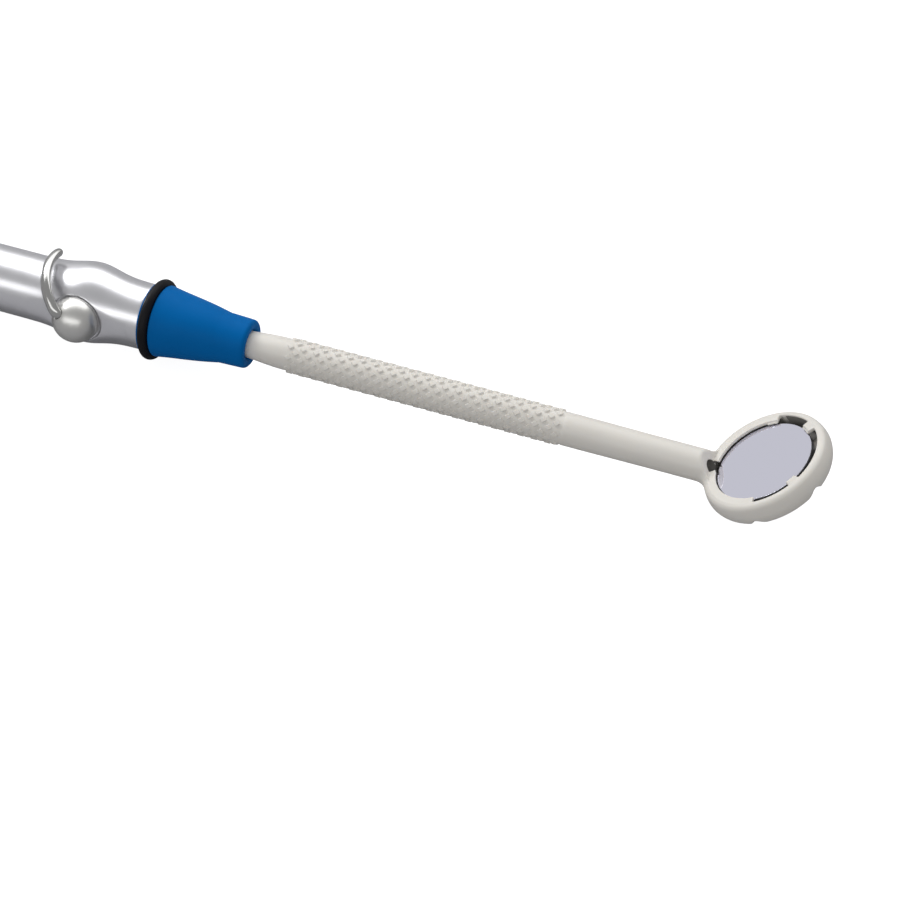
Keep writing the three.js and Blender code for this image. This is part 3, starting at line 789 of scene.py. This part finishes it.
def grip_mesh(start, end):
    """The grip: raised diamond studs between two families of helical grooves.

    The mesh follows the grooves. a and b count along the two families, and each stud takes one
    step of both, so a stud's edges lie on lines of the mesh.
    """
    half = STUD_SHARE / 2
    marks = [half - STUD_ROUND, half, half + STUD_SLOPE, half + STUD_SLOPE + STUD_ROUND]
    offsets = np.array([-0.5, *[-mark for mark in reversed(marks)], 0, *marks])
    raised = (abs(offsets) <= half + 1e-9).astype(float)
    count = len(offsets)
    row = math.tau / STUD_ROWS
    lines = int(2 * (end - start) / STUD_PITCH + 4) * count
    total = np.arange(-2 * count, lines)[:, None]
    difference = np.arange(STUD_ROWS * count)[None, :]
    real = (total + difference) % 2 == 0
    total, difference = np.broadcast_arrays(total, difference)
    index = np.full(real.shape, -1)
    index[real] = np.arange(real.sum())
    a, b = (total[real] + difference[real]) // 2, (total[real] - difference[real]) // 2

    def spot(line):
        return (line + count // 2) // count, (line + count // 2) % count

    (cell_a, at_a), (cell_b, at_b) = spot(a), spot(b)
    place_a, place_b = cell_a + offsets[at_a], cell_b + offsets[at_b]
    x = start + STUD_PITCH / 2 * (place_a + place_b)
    middle = start + STUD_PITCH / 2 * (cell_a + cell_b)
    room = STUD_PITCH / 2 * (STUD_SHARE + 2 * STUD_SLOPE)
    whole = (middle - room > start) & (middle + room < end)
    radius = GRIP_RADIUS - STUD_HEIGHT * (1 - raised[at_a] * raised[at_b] * whole)
    turn = row * (place_a - place_b)
    points = np.stack([x, radius * np.cos(turn), AXIS_Z + radius * np.sin(turn)], 1)
    rows, columns = np.nonzero(real[:-2])
    columns_after = (columns + 1) % real.shape[1]
    columns_before = (columns - 1) % real.shape[1]
    quads = np.stack([
        index[rows, columns],
        index[rows + 1, columns_after],
        index[rows + 2, columns],
        index[rows + 1, columns_before],
    ], 1)
    mesh = bpy.data.meshes.new("work")
    mesh.from_pydata(points.tolist(), [], quads.tolist())
    return mesh


def mirror_body():
    skin = Skin()
    base = GRIP_RADIUS - STUD_HEIGHT
    low, high = (-22, -15.6, -6.6), (15.7, 15.7, 8.8)
    head = grown(head_field, low, high, HEAD_CELL, head_to_frame, HEAD_KEPT)
    points, faces, rims = sliced(head, [(NECK_CUT_X, 1)])
    first = skin.join(points, faces)
    outer_rim = first + rim(points, rims, NECK_CUT_X, 3, 6)
    bore_rim = first + rim(points, rims, NECK_CUT_X, 1, 3)

    start, stop = GRIP_X + STRIP, GRIP_END_X - STRIP
    points, faces, rims = sliced(grip_mesh(GRIP_X, GRIP_END_X), [(start, 1), (stop, -1)])
    first = skin.join(points, faces)
    grip_start = first + rim(points, rims, start, 3, 6)
    grip_stop = first + rim(points, rims, stop, 3, 6)

    tip = rounded([
        (NECK_CUT_X - 3 * STRIP, HANDLE_BORE, 0),
        (TIP_X, HANDLE_BORE, 0.25),
        (TIP_X, TIP_RADIUS, 0.45),
        (TIP_X + TIP_LENGTH, TIP_RADIUS, 0),
    ])
    for part in np.linspace(0, 1, 22)[1:-1]:
        rise = (base - TIP_RADIUS) * math.sin(math.pi / 2 * part) ** 1.15
        tip.append((TIP_X + TIP_LENGTH + TAPER_LENGTH * part, TIP_RADIUS + rise))
    tip.append((GRIP_X - STRIP, base))
    rows = skin.loft(on_axis(tip, HANDLE_SIDES))
    skin.zip(rows[0], bore_rim)
    skin.zip(rows[-1], grip_start)

    stations = np.linspace(GRIP_END_X + STRIP, NECK_CUT_X - 3 * STRIP, 34)
    rows = skin.loft(on_axis(zip(stations, neck_radius(stations)), HANDLE_SIDES))
    skin.zip(rows[0], grip_stop)
    skin.zip(rows[-1], outer_rim)
    body = piece("mirror_body", "mirror", "ivory_plastic", skin.points(), skin.faces)
    body.data.materials.append(MATERIALS["ivory_painted_shade"])
    # Faces in the suction channel and the handle's bore take the darker ivory, which is painted
    # shade for these hollows.
    for face in body.data.polygons:
        x, y, z = face.center / MM
        along, height = x - GLASS_X, z - AXIS_Z - HEAD_RISE
        u, w = along * COS_TILT + height * SIN_TILT, height * COS_TILT - along * SIN_TILT
        in_channel = math.hypot(u, y) < CHANNEL_RADIUS + 0.05
        in_channel &= -CHANNEL_DEPTH - 0.1 < w < PAINTED_SHADE_TOP
        in_bore = math.hypot(y, z - AXIS_Z) < HANDLE_BORE + 0.12
        in_bore &= along < 0.3 - SEAT_RADIUS * COS_TILT
        face.material_index = int(in_channel or in_bore)


def mirror_glass():
    profile = rounded([
        (-GLASS_THICKNESS, 0),
        (-GLASS_THICKNESS, GLASS_RADIUS, 0.15),
        (-GLASS_BEVEL, GLASS_RADIUS, 0.08),
        (0, GLASS_RADIUS - GLASS_BEVEL, 0.03),
        (0, GLASS_RADIUS * 0.6, 0),
        (0, 0),
    ])
    skin = turned(profile, 160)
    x, y, z = skin.points().T
    place = head_to_frame(np.stack([z, y, x], 1))
    glass = piece("mirror_glass", "mirror", "mirror_glass", place, skin.faces)
    crisp(glass, 20)
    # The side and the bevel are painted dark as shade, all but the bevel beside the handle.
    glass.data.materials.append(MATERIALS["glass_edge_painted_shade"])
    for face in glass.data.polygons:
        facing = face.normal.z * COS_TILT - face.normal.x * SIN_TILT
        beside_handle = face.center.x / MM <= GLASS_X - 0.6 * GLASS_RADIUS * COS_TILT
        face.material_index = int(facing < (0.3 if beside_handle else 0.9))


# ---------------------------------------------------------------- adapter

GROOVE = RING_SECTION / 2 + SEAT
RING_X = FACE_GAP + LIP_THICKNESS + GROOVE


def from_face(skin):
    """Places a piece turned about X, with stations from the handpiece's face."""
    return skin.points() + (FACE_X, 0, AXIS_Z)


def adapter_cone():
    mouth = MOUTH_X - FACE_X
    step = TIP_X - FACE_X - GRIP_BORE_STOP
    ring_floor = RING_RADIUS - RING_SECTION - SEAT
    cone_start = RING_X + GROOVE
    cone_length = mouth - NOSE_LENGTH - cone_start
    narrowing = NOSE_RADIUS + 0.15 - CONE_RADIUS
    cone = []
    for part in np.linspace(0.05, 1, 20):
        fall = part**0.9 * (1 - 0.12 * math.sin(math.pi * part))
        cone.append((cone_start + cone_length * part, CONE_RADIUS + narrowing * min(fall, 1)))
    skin = sleeve([
        (-STEM_LENGTH, ADAPTER_BORE, 0.2),
        (-STEM_LENGTH, STEM_RADIUS, 0.5),
        (FACE_GAP, STEM_RADIUS, 0.05),
        (FACE_GAP, CONE_RADIUS, 0.12),
        (FACE_GAP + LIP_THICKNESS, CONE_RADIUS, 0.12),
        (FACE_GAP + LIP_THICKNESS, ring_floor, 0.3),
        (cone_start, ring_floor, 0.3),
        (cone_start, CONE_RADIUS, 0.35),
        *[(x, r, 0) for x, r in cone],
        (mouth - 3.0, NOSE_RADIUS + 0.02, 0),
        (mouth, NOSE_RADIUS - 0.1, 1.3),
        (mouth, TIP_RADIUS + 0.8, 0.3),
        (mouth - 0.9, TIP_RADIUS + RUN, 0.3),
        (step, TIP_RADIUS + RUN, 0.1),
        (step, ADAPTER_BORE, 0.1),
    ])
    piece("adapter_cone", "adapter", "blue_silicone", from_face(skin), skin.faces)


def adapter_ring():
    skin = seal(RING_X, RING_RADIUS, RING_SECTION, 128)
    piece("adapter_ring", "adapter", "black_rubber", from_face(skin), skin.faces)


# ---------------------------------------------------------------- handpiece


def seal_station(name):
    low, high = box_mm(name)
    return (low[0] + high[0]) / 2 - FACE_X


def outside_of(offset):
    return TUBE_RADIUS + (BULGE_RADIUS - TUBE_RADIUS) * np.exp(-((offset / BULGE_SPREAD) ** 2))


def valve_housing_field(x, y, z):
    """The stretch of the handpiece round the valve, with x measured from the valve's axis."""
    from_axis = np.hypot(y, z)
    across = np.hypot(x, z)
    side = abs(y) + 0 * across
    body = crossed(from_axis - outside_of(x), side - FLAT_OFFSET, 0.5)
    chamfer_foot = FLAT_OFFSET - COUNTERSINK_CHAMFER
    sink = np.maximum(across - COUNTERSINK_RADIUS, FLAT_OFFSET - COUNTERSINK_DEPTH - side)
    chamfer = (across - COUNTERSINK_RADIUS - (side - chamfer_foot) + 0.35) * math.sqrt(0.5)
    chamfer = np.maximum(chamfer, chamfer_foot - side)
    body = cut(body, np.minimum(sink, chamfer), 0.12)
    body = cut(body, across - PLUG_RADIUS - RUN, 0.12)
    return cut(body, from_axis - SUCTION_BORE, 0.2)


def handpiece_body():
    reach = VALVE_REACH
    high = np.array([reach + 1, 10.4, 10.4])
    housing = grown(valve_housing_field, -high, high, BODY_CELL, valve_to_frame, BODY_KEPT)
    ends = FACE_X + VALVE_X - reach, FACE_X + VALVE_X + reach
    points, faces, rims = sliced(housing, [(ends[0], 1), (ends[1], -1)])
    skin = Skin()
    first = skin.join(points, faces)
    inside = [first + rim(points, rims, end, 1, 5) for end in ends]
    outside = [first + rim(points, rims, end, 6, 12) for end in ends]

    half = PORT_SEAL_SECTION / 2 + SEAT
    port = STEM_RADIUS + RUN + CORNER_PLAY
    groove_floor = STEM_RADIUS + RUN + PORT_SEAL_SECTION + SEAT
    port_end = -STEM_LENGTH - PORT_SHOULDER
    grooves = []
    for name in ("port_seal_front", "port_seal_back"):
        grooves += groove(seal_station(name), half, port, groove_floor)
    fore = VALVE_X + reach + 0.2
    front = [(x, float(outside_of(x - VALVE_X)), 0) for x in np.linspace(fore, -0.9, 6)]
    front += [
        (0, TUBE_RADIUS, 0.6),
        (0, port, 0.25),
        *grooves,
        (port_end, port, 0.1),
        (port_end, SUCTION_BORE, 0.2),
    ]
    # The port is deeper than the valve's stretch starts, so its bore ends on the housing's own.
    bore_front = [(x, r) for x, r in rounded(front) if x > fore or r > SUCTION_BORE + 0.01]
    rows = skin.loft(on_axis([(FACE_X + x, r) for x, r in bore_front]))
    skin.zip(rows[0], outside[1])
    if port_end > fore:
        tail = skin.loft(on_axis([(FACE_X + x, SUCTION_BORE) for x in (port_end, fore)]))
        skin.zip(rows[-1], tail[0])
        skin.zip(tail[-1], inside[1])
    else:
        skin.zip(rows[-1], inside[1])

    seat = SPIGOT_RADIUS + RUN + CORNER_PLAY
    seat_end = BODY_BACK + SPIGOT_LENGTH + 1
    shoulder = BODY_BACK + THREAD_LENGTH
    thread = []
    thread_floor = THREAD_RADIUS - THREAD_DEPTH
    for turn in range(int((THREAD_LENGTH - 2 * THREAD_PLAIN) / THREAD_PITCH)):
        start = BODY_BACK + THREAD_PLAIN + turn * THREAD_PITCH
        thread += [(start, THREAD_RADIUS, 0.05), (start + THREAD_PITCH / 2, thread_floor, 0.05)]
    aft = VALVE_X - reach - 0.2
    along = np.linspace(aft, shoulder + 0.6, 12)[1:]
    stretch = [(x, float(outside_of(x - VALVE_X)), 0) for x in along]
    back = rounded([
        (aft, SUCTION_BORE),
        (seat_end, SUCTION_BORE, 0.3),
        (seat_end, seat, 0.2),
        (BODY_BACK, seat, 0.2),
        (BODY_BACK, thread_floor, 0.1),
        *thread,
        (shoulder, thread_floor, 0.1),
        (shoulder, TUBE_RADIUS, 0.35),
        *stretch[::-1],
        (aft, float(outside_of(aft - VALVE_X))),
    ])
    rows = skin.loft(on_axis([(FACE_X + x, r) for x, r in back]))
    skin.zip(rows[0], inside[0])
    skin.zip(rows[-1], outside[0])
    body = piece("handpiece_body", "handpiece", "satin_aluminium", skin.points(), skin.faces)
    crisp(body, 40)


def inner_seals():
    """The seals inside the handpiece, each where the frame has it."""
    port_outside = STEM_RADIUS + RUN + PORT_SEAL_SECTION
    for name, section, outside in (
        ("port_seal_front", PORT_SEAL_SECTION, port_outside),
        ("port_seal_back", PORT_SEAL_SECTION, port_outside),
        ("swivel_seal", SWIVEL_SEAL_SECTION, SPIGOT_RADIUS + RUN / 2),
    ):
        skin = seal(seal_station(name), outside, section, INNER_FINE)
        body = frame["nodes"][name]["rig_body"]
        piece(name, body, "black_rubber", from_face(skin), skin.faces)


# ---------------------------------------------------------------- valve


def plug_seals():
    offsets = {"plug_seal_near": PLUG_SEAL_OFFSET, "plug_seal_far": -PLUG_SEAL_OFFSET}
    for name, offset in offsets.items():
        skin = seal(offset, PLUG_RADIUS, PLUG_SEAL_SECTION, INNER_FINE)
        place = valve_to_frame(turn_to_y(skin.points()))
        piece(name, "valve", "black_rubber", place, skin.faces)


def carved(name, slot, field, low, high, cell, kept):
    """Makes a piece that rides on the valve from a field in the valve's frame."""
    points, faces, _ = sliced(grown(field, low, high, cell, valve_to_frame, kept), [])
    return piece(name, "valve", slot, points, faces)


def valve_plug():
    def field(x, y, z):
        across = np.hypot(x, z)
        body = crossed(across - PLUG_RADIUS, abs(y) - PLUG_HALF + 0 * across, 0.2)
        for offset in (-PLUG_SEAL_OFFSET, PLUG_SEAL_OFFSET):
            half = PLUG_SEAL_SECTION / 2 + SEAT
            floor = PLUG_RADIUS - PLUG_SEAL_SECTION - SEAT
            body = cut(body, np.maximum(floor - across, abs(y - offset) - half), 0.1)
        socket = y + PLUG_HALF - KNOB_SPIGOT_LENGTH - SEAT
        socket = np.maximum(across - KNOB_SPIGOT_RADIUS - SEAT, socket)
        thread = np.maximum(across - SCREW_RADIUS - SEAT, PLUG_HALF - SCREW_LENGTH - SEAT - y)
        for hollow in (socket, thread, np.hypot(y, z) - SUCTION_BORE + 0 * x):
            body = cut(body, hollow, 0.15)
        return body

    high = np.array([5.8, 7.8, 5.8])
    carved("valve_plug", "satin_aluminium", field, -high, high, 0.2, 0.7)


def lever_path():
    """The lever's middle line in its own plane: out beside the body, and over it."""
    points = [(LEVER_REACH - 1.9, LEVER_FOOT), (LEVER_REACH - 0.6, LEVER_FOOT + 1.7)]
    for angle in range(20, 91 + LEVER_PAST, 10):
        turn = math.radians(angle)
        reach = LEVER_REACH + (LEVER_ARCH - LEVER_REACH) * math.sin(turn) ** 0.6
        points.append((reach * math.cos(turn), reach * math.sin(turn)))
    return smooth_line(points, 6)


def lever_to_valve(points):
    """From (out, over, across) in the lever's plane to the valve's frame."""
    out, over, across = np.asarray(points, float).T
    lean = math.cos(LEVER_LEAN), math.sin(LEVER_LEAN)
    return np.stack([across * lean[0] - over * lean[1], -out, over * lean[0] + across * lean[1]], 1)


def valve_to_lever(x, y, z):
    lean = math.cos(LEVER_LEAN), math.sin(LEVER_LEAN)
    return -y, z * lean[0] - x * lean[1], x * lean[0] + z * lean[1]


def lever():
    """A cast hook of oval section, thickest in its middle, with round ends."""
    path = lever_path()
    steps = np.diff(path, axis=0)
    lengths = np.concatenate([[0], np.cumsum(np.hypot(*steps.T))])
    whole = lengths[-1]
    end_round = LEVER_END_ROUND
    stations = np.concatenate([
        end_round * (1 - np.cos(np.linspace(0, math.pi / 2, 9)[1:])),
        np.linspace(end_round, whole - end_round, 60)[1:-1],
        whole - end_round * (1 - np.cos(np.linspace(math.pi / 2, 0, 9)[:-1])),
    ])

    def spot(station):
        return np.array([np.interp(station, lengths, column) for column in path.T])

    rings = []
    for station in stations:
        ahead, behind = spot(min(station + 0.3, whole)), spot(max(station - 0.3, 0))
        along = (ahead - behind) / np.linalg.norm(ahead - behind)
        out = np.array([along[1], -along[0]])
        part = station / whole
        swell = LEVER_END + (1 - LEVER_END) * math.sin(math.pi * part) ** 0.6
        from_end = min(station, whole - station, end_round) / end_round
        closing = math.sqrt(max(1 - (1 - from_end) ** 2, 0))
        half_width = LEVER_WIDTH / 2 * swell * closing
        half_depth = LEVER_DEPTH / 2 * swell * closing
        angle = np.arange(LEVER_SIDES) * math.tau / LEVER_SIDES
        ring = spot(station) + half_depth * np.cos(angle)[:, None] * out
        rings.append(np.column_stack([ring, half_width * np.sin(angle)]))
    skin = Skin()
    rows = skin.loft(rings)
    skin.cap(rows[0], (*path[0], 0))
    skin.cap(rows[-1], (*path[-1], 0))
    place = valve_to_frame(lever_to_valve(skin.points()))
    piece("lever", "valve", "polished_steel", place, skin.faces)


def ball_knob():
    """The ball, slotted for the lever's root."""
    path = lever_path()[:24]

    def field(x, y, z):
        across = np.hypot(x, z)
        ball = np.sqrt(x**2 + (y + FLAT_OFFSET) ** 2 + z**2) - KNOB_RADIUS
        seat_face = FLAT_OFFSET - COUNTERSINK_DEPTH + SEAT
        below = np.maximum(across - KNOB_RADIUS, slab(y, -FLAT_OFFSET, -seat_face))
        spigot_end = -PLUG_HALF + KNOB_SPIGOT_LENGTH
        spigot = np.maximum(across - KNOB_SPIGOT_RADIUS, slab(y, -seat_face - 1, spigot_end))
        body = np.minimum(np.maximum(ball, y + seat_face), below)
        body = np.minimum(body, spigot)
        out, over, side = valve_to_lever(x, y, z)
        best = np.full(np.broadcast(out, over, side).shape, np.inf)
        for a, b in zip(path[::2], path[2::2]):
            step = b - a
            part = np.clip(((out - a[0]) * step[0] + (over - a[1]) * step[1]) / (step @ step), 0, 1)
            away = np.hypot(out - a[0] - part * step[0], over - a[1] - part * step[1])
            best = np.minimum(best, away)
        deep = LEVER_DEPTH / 2 * SLOT_HOLD + SEAT
        wide = LEVER_WIDTH / 2 * SLOT_HOLD + SEAT
        slot = (np.hypot(best / deep, side / wide) - 1) * deep
        return cut(body, slot, 0.12)

    low = (-6.1, -FLAT_OFFSET - KNOB_RADIUS - 0.3, -6.1)
    high = (6.1, -PLUG_HALF + KNOB_SPIGOT_LENGTH + 0.3, 6.1)
    crisp(carved("ball_knob", "satin_nickel", field, low, high, 0.13, 0.6), 50)


WASHER_FACE = max(PLUG_HALF, FLAT_OFFSET - COUNTERSINK_DEPTH) + SEAT


def far_side(skin):
    """Places a piece turned about X on the plug's axis, pointing to the far side."""
    x, y, z = skin.points().T
    return valve_to_frame(np.stack([-y, x, z], 1))


def retaining_washer():
    skin = washer(WASHER_FACE, WASHER_THICKNESS, SCREW_RADIUS + SEAT, WASHER_RADIUS, 0.2)
    piece("retaining_washer", "valve", "satin_nickel", far_side(skin), skin.faces)


def retaining_screw():
    under = WASHER_FACE + WASHER_THICKNESS + SEAT
    top = under + SCREW_HEAD_HEIGHT

    def field(x, y, z):
        across = np.hypot(x, z)
        head = crossed(across - SCREW_HEAD_RADIUS, slab(y, under, top) + 0 * across, 0.5)
        shank = np.maximum(across - SCREW_RADIUS, slab(y, PLUG_HALF - SCREW_LENGTH, under + 0.2))
        body = np.minimum(head, shank)
        depth = SCREW_HEAD_HEIGHT / 2
        slot = np.maximum(abs(z) - SCREW_SLOT / 2, top - depth - y)
        return cut(body, slot + 0 * x, 0.12)

    low = (-3.9, PLUG_HALF - SCREW_LENGTH - 0.3, -3.9)
    high = (3.9, top + 0.3, 3.9)
    crisp(carved("retaining_screw", "polished_steel", field, low, high, 0.11, 0.6), 50)


# ---------------------------------------------------------------- hose swivel

COLLAR_FRONT = BODY_BACK - SEAT
COLLAR_BACK = COLLAR_FRONT - COLLAR_LENGTH
WASHER_BACK = COLLAR_BACK - SEAT - SLIP_WASHER
NUT_LIP_FRONT = WASHER_BACK - SEAT
NUT_BACK = NUT_LIP_FRONT - NUT_LIP


def hose_connector():
    spigot_end = BODY_BACK + SPIGOT_LENGTH
    half = SWIVEL_SEAL_SECTION / 2 + SEAT
    station = BODY_BACK + SWIVEL_SEAL_BACK
    floor = SPIGOT_RADIUS + RUN / 2 - SWIVEL_SEAL_SECTION - SEAT
    barbs = []
    for i in range(BARB_COUNT):
        start = NUT_BACK - BARB_GAP - BARB_PITCH * (BARB_COUNT - i)
        crest = start + BARB_PITCH - BARB_REST
        barbs += [
            (start, BARB_ROOT, 0.15),
            (crest, BARB_CREST, 0.12),
            (crest + BARB_DROP, BARB_ROOT, 0.15),
        ]
    skin = sleeve([
        (barbs[0][0], HOSE_BORE, 0.2),
        *barbs,
        (COLLAR_BACK, BARB_ROOT, 0.2),
        (COLLAR_BACK, COLLAR_RADIUS, 0.15),
        (COLLAR_FRONT, COLLAR_RADIUS, 0.15),
        (COLLAR_FRONT, SPIGOT_RADIUS, 0.15),
        *groove(station, -half, SPIGOT_RADIUS, floor),
        (spigot_end, SPIGOT_RADIUS, 0.4),
        (spigot_end, HOSE_BORE, 0.2),
    ])
    made = piece("hose_connector", "connector", "satin_aluminium", from_face(skin), skin.faces)
    crisp(made, 40)


def tail_nut():
    front = BODY_BACK + THREAD_LENGTH - SEAT
    inside = max(THREAD_RADIUS, COLLAR_RADIUS) + SEAT
    grip = NUT_BACK + 2.2, front - 2.0

    def flutes(x, angle):
        """Shallow round flutes that a wet glove can grip, on the nut's outside only."""
        if not grip[0] <= x <= grip[1]:
            return 0 * angle
        fade = min(1, (x - grip[0]) / 0.5, (grip[1] - x) / 0.5)
        return -FLUTE_DEPTH * fade * (0.5 + 0.5 * np.cos(NUT_FLUTES * angle)) ** 1.5

    stretch = [(x, NUT_RADIUS, 0) for x in np.linspace(grip[0], grip[1], 24)]
    outer = rounded([
        (NUT_BACK, BARB_CREST + RUN, 0.2),
        (NUT_BACK, NUT_RADIUS, 0.8),
        *stretch,
        (front, NUT_RADIUS, 0.5),
        (front, inside, 0.15),
    ])
    inner = rounded([
        (front, inside),
        (NUT_LIP_FRONT, inside, 0.1),
        (NUT_LIP_FRONT, BARB_CREST + RUN, 0.1),
        (NUT_BACK, BARB_CREST + RUN),
    ])
    sides = NUT_FLUTES * 10
    skin = Skin()
    outer_rings = [
        ring_points(x, r, sides, flutes if r > NUT_RADIUS - 0.01 else None) for x, r in outer
    ]
    inner_rings = [ring_points(x, r, sides) for x, r in inner[1:-1]]
    rows = skin.loft(outer_rings + inner_rings)
    skin.band(rows[-1], rows[0])
    made = piece("tail_nut", "handpiece", "satin_aluminium", from_face(skin), skin.faces)
    crisp(made, 45)


def swivel_washer():
    skin = washer(WASHER_BACK, SLIP_WASHER, BARB_CREST + RUN, COLLAR_RADIUS - SEAT, 0.1)
    piece("swivel_washer", "handpiece", "white_plastic", from_face(skin), skin.faces)


for make in (
    mirror_body, mirror_glass, adapter_cone, adapter_ring, handpiece_body,
    inner_seals, plug_seals, valve_plug, lever, ball_knob,
    retaining_washer, retaining_screw, hose_connector, tail_nut, swivel_washer,
):
    make()

# ---------------------------------------------------------------- studio

CAMERA_PLACE = Vector((0.1299, -0.2626, 0.3292))
CAMERA_RIGHT = Vector((0.942, 0.335, 0.0))
CAMERA_BACK = Vector((0.213, -0.599, 0.772))
CAMERA_LENS = 72
WORLD_LIGHT = 0.40
MIRROR_CARD = 0.21
FLOOR_SIZE = 6.0
FLOOR_LIGHT = 0.9


def camera():
    data = bpy.data.cameras.new("camera")
    data.lens = CAMERA_LENS
    data.sensor_width = 36
    data.clip_start = 0.01
    made = linked("camera", data)
    right = CAMERA_RIGHT.normalized()
    back = (CAMERA_BACK - right * CAMERA_BACK.dot(right)).normalized()
    up = back.cross(right)
    turn = Matrix((right, up, back)).transposed().to_4x4()
    made.matrix_world = Matrix.Translation(CAMERA_PLACE) @ turn
    bpy.context.scene.camera = made


def softbox(name, direction, distance, width, height, radiance, target=(0, 0, 0.01)):
    """A soft light of a given brightness, its long side level, facing the object."""
    data = bpy.data.lights.new(name, "AREA")
    data.shape = "RECTANGLE"
    data.size, data.size_y = width, height
    data.energy = radiance * math.pi * width * height
    made = linked(name, data)
    direction = Vector(direction).normalized()
    made.location = Vector(target) + direction * distance
    made.rotation_euler = direction.to_track_quat("Z", "Y").to_euler()
    made.visible_camera = False


def seen_white(tree, light, bright):
    """A light for all but direct sight, which sees it brighter."""
    nodes, links = tree.nodes, tree.links
    path = nodes.new("ShaderNodeLightPath")
    choice = nodes.new("ShaderNodeMix")
    choice.inputs["A"].default_value = light
    choice.inputs["B"].default_value = bright
    links.new(path.outputs["Is Camera Ray"], choice.inputs["Factor"])
    return choice.outputs["Result"]


def studio():
    world = bpy.data.worlds.new("studio")
    world.use_nodes = True
    bpy.context.scene.world = world
    background = world.node_tree.nodes["Background"]
    background.inputs["Color"].default_value = (1, 1, 1, 1)
    strength = seen_white(world.node_tree, WORLD_LIGHT, 1.0)
    world.node_tree.links.new(strength, background.inputs["Strength"])

    mesh = bpy.data.meshes.new("floor")
    half = FLOOR_SIZE / 2
    corners = [(-half, -half, 0), (half, -half, 0), (half, half, 0), (-half, half, 0)]
    mesh.from_pydata(corners, [], [(0, 1, 2, 3)])
    floor = linked("floor", mesh)
    material = bpy.data.materials.new("floor")
    material.use_nodes = True
    surface = material.node_tree.nodes["Principled BSDF"]
    set_sockets(surface, {
        "Base Color": (0.36, 0.36, 0.37, 1),
        "Roughness": 0.9,
        "Specular IOR Level": 0.1,
        "Emission Color": (1, 1, 1, 1),
    })
    strength = seen_white(material.node_tree, 0.0, FLOOR_LIGHT)
    material.node_tree.links.new(strength, surface.inputs["Emission Strength"])
    mesh.materials.append(material)

    # A long box over the far side and a lower one over the near side, with a darker gap between.
    far, near = math.radians(52), math.radians(33)
    softbox("far_box", (-0.25, math.cos(far), math.sin(far)), 1.1, 2.4, 0.95, 1.6)
    softbox("near_box", (0, -math.cos(near), math.sin(near)), 1.2, 2.0, 0.45, 1.3)
    # A smaller one up on the hose's side, whose light rakes along the grip.
    softbox("key", (-0.75, 0.28, 0.6), 1.0, 0.3, 0.3, 7.5)
    # An even card where the mirror looks.
    softbox("mirror_card", (-0.727, 0.643, 0.19), 1.6, 0.9, 0.5, MIRROR_CARD)


camera()
studio()
bpy.context.scene.view_settings.view_transform = "Standard"
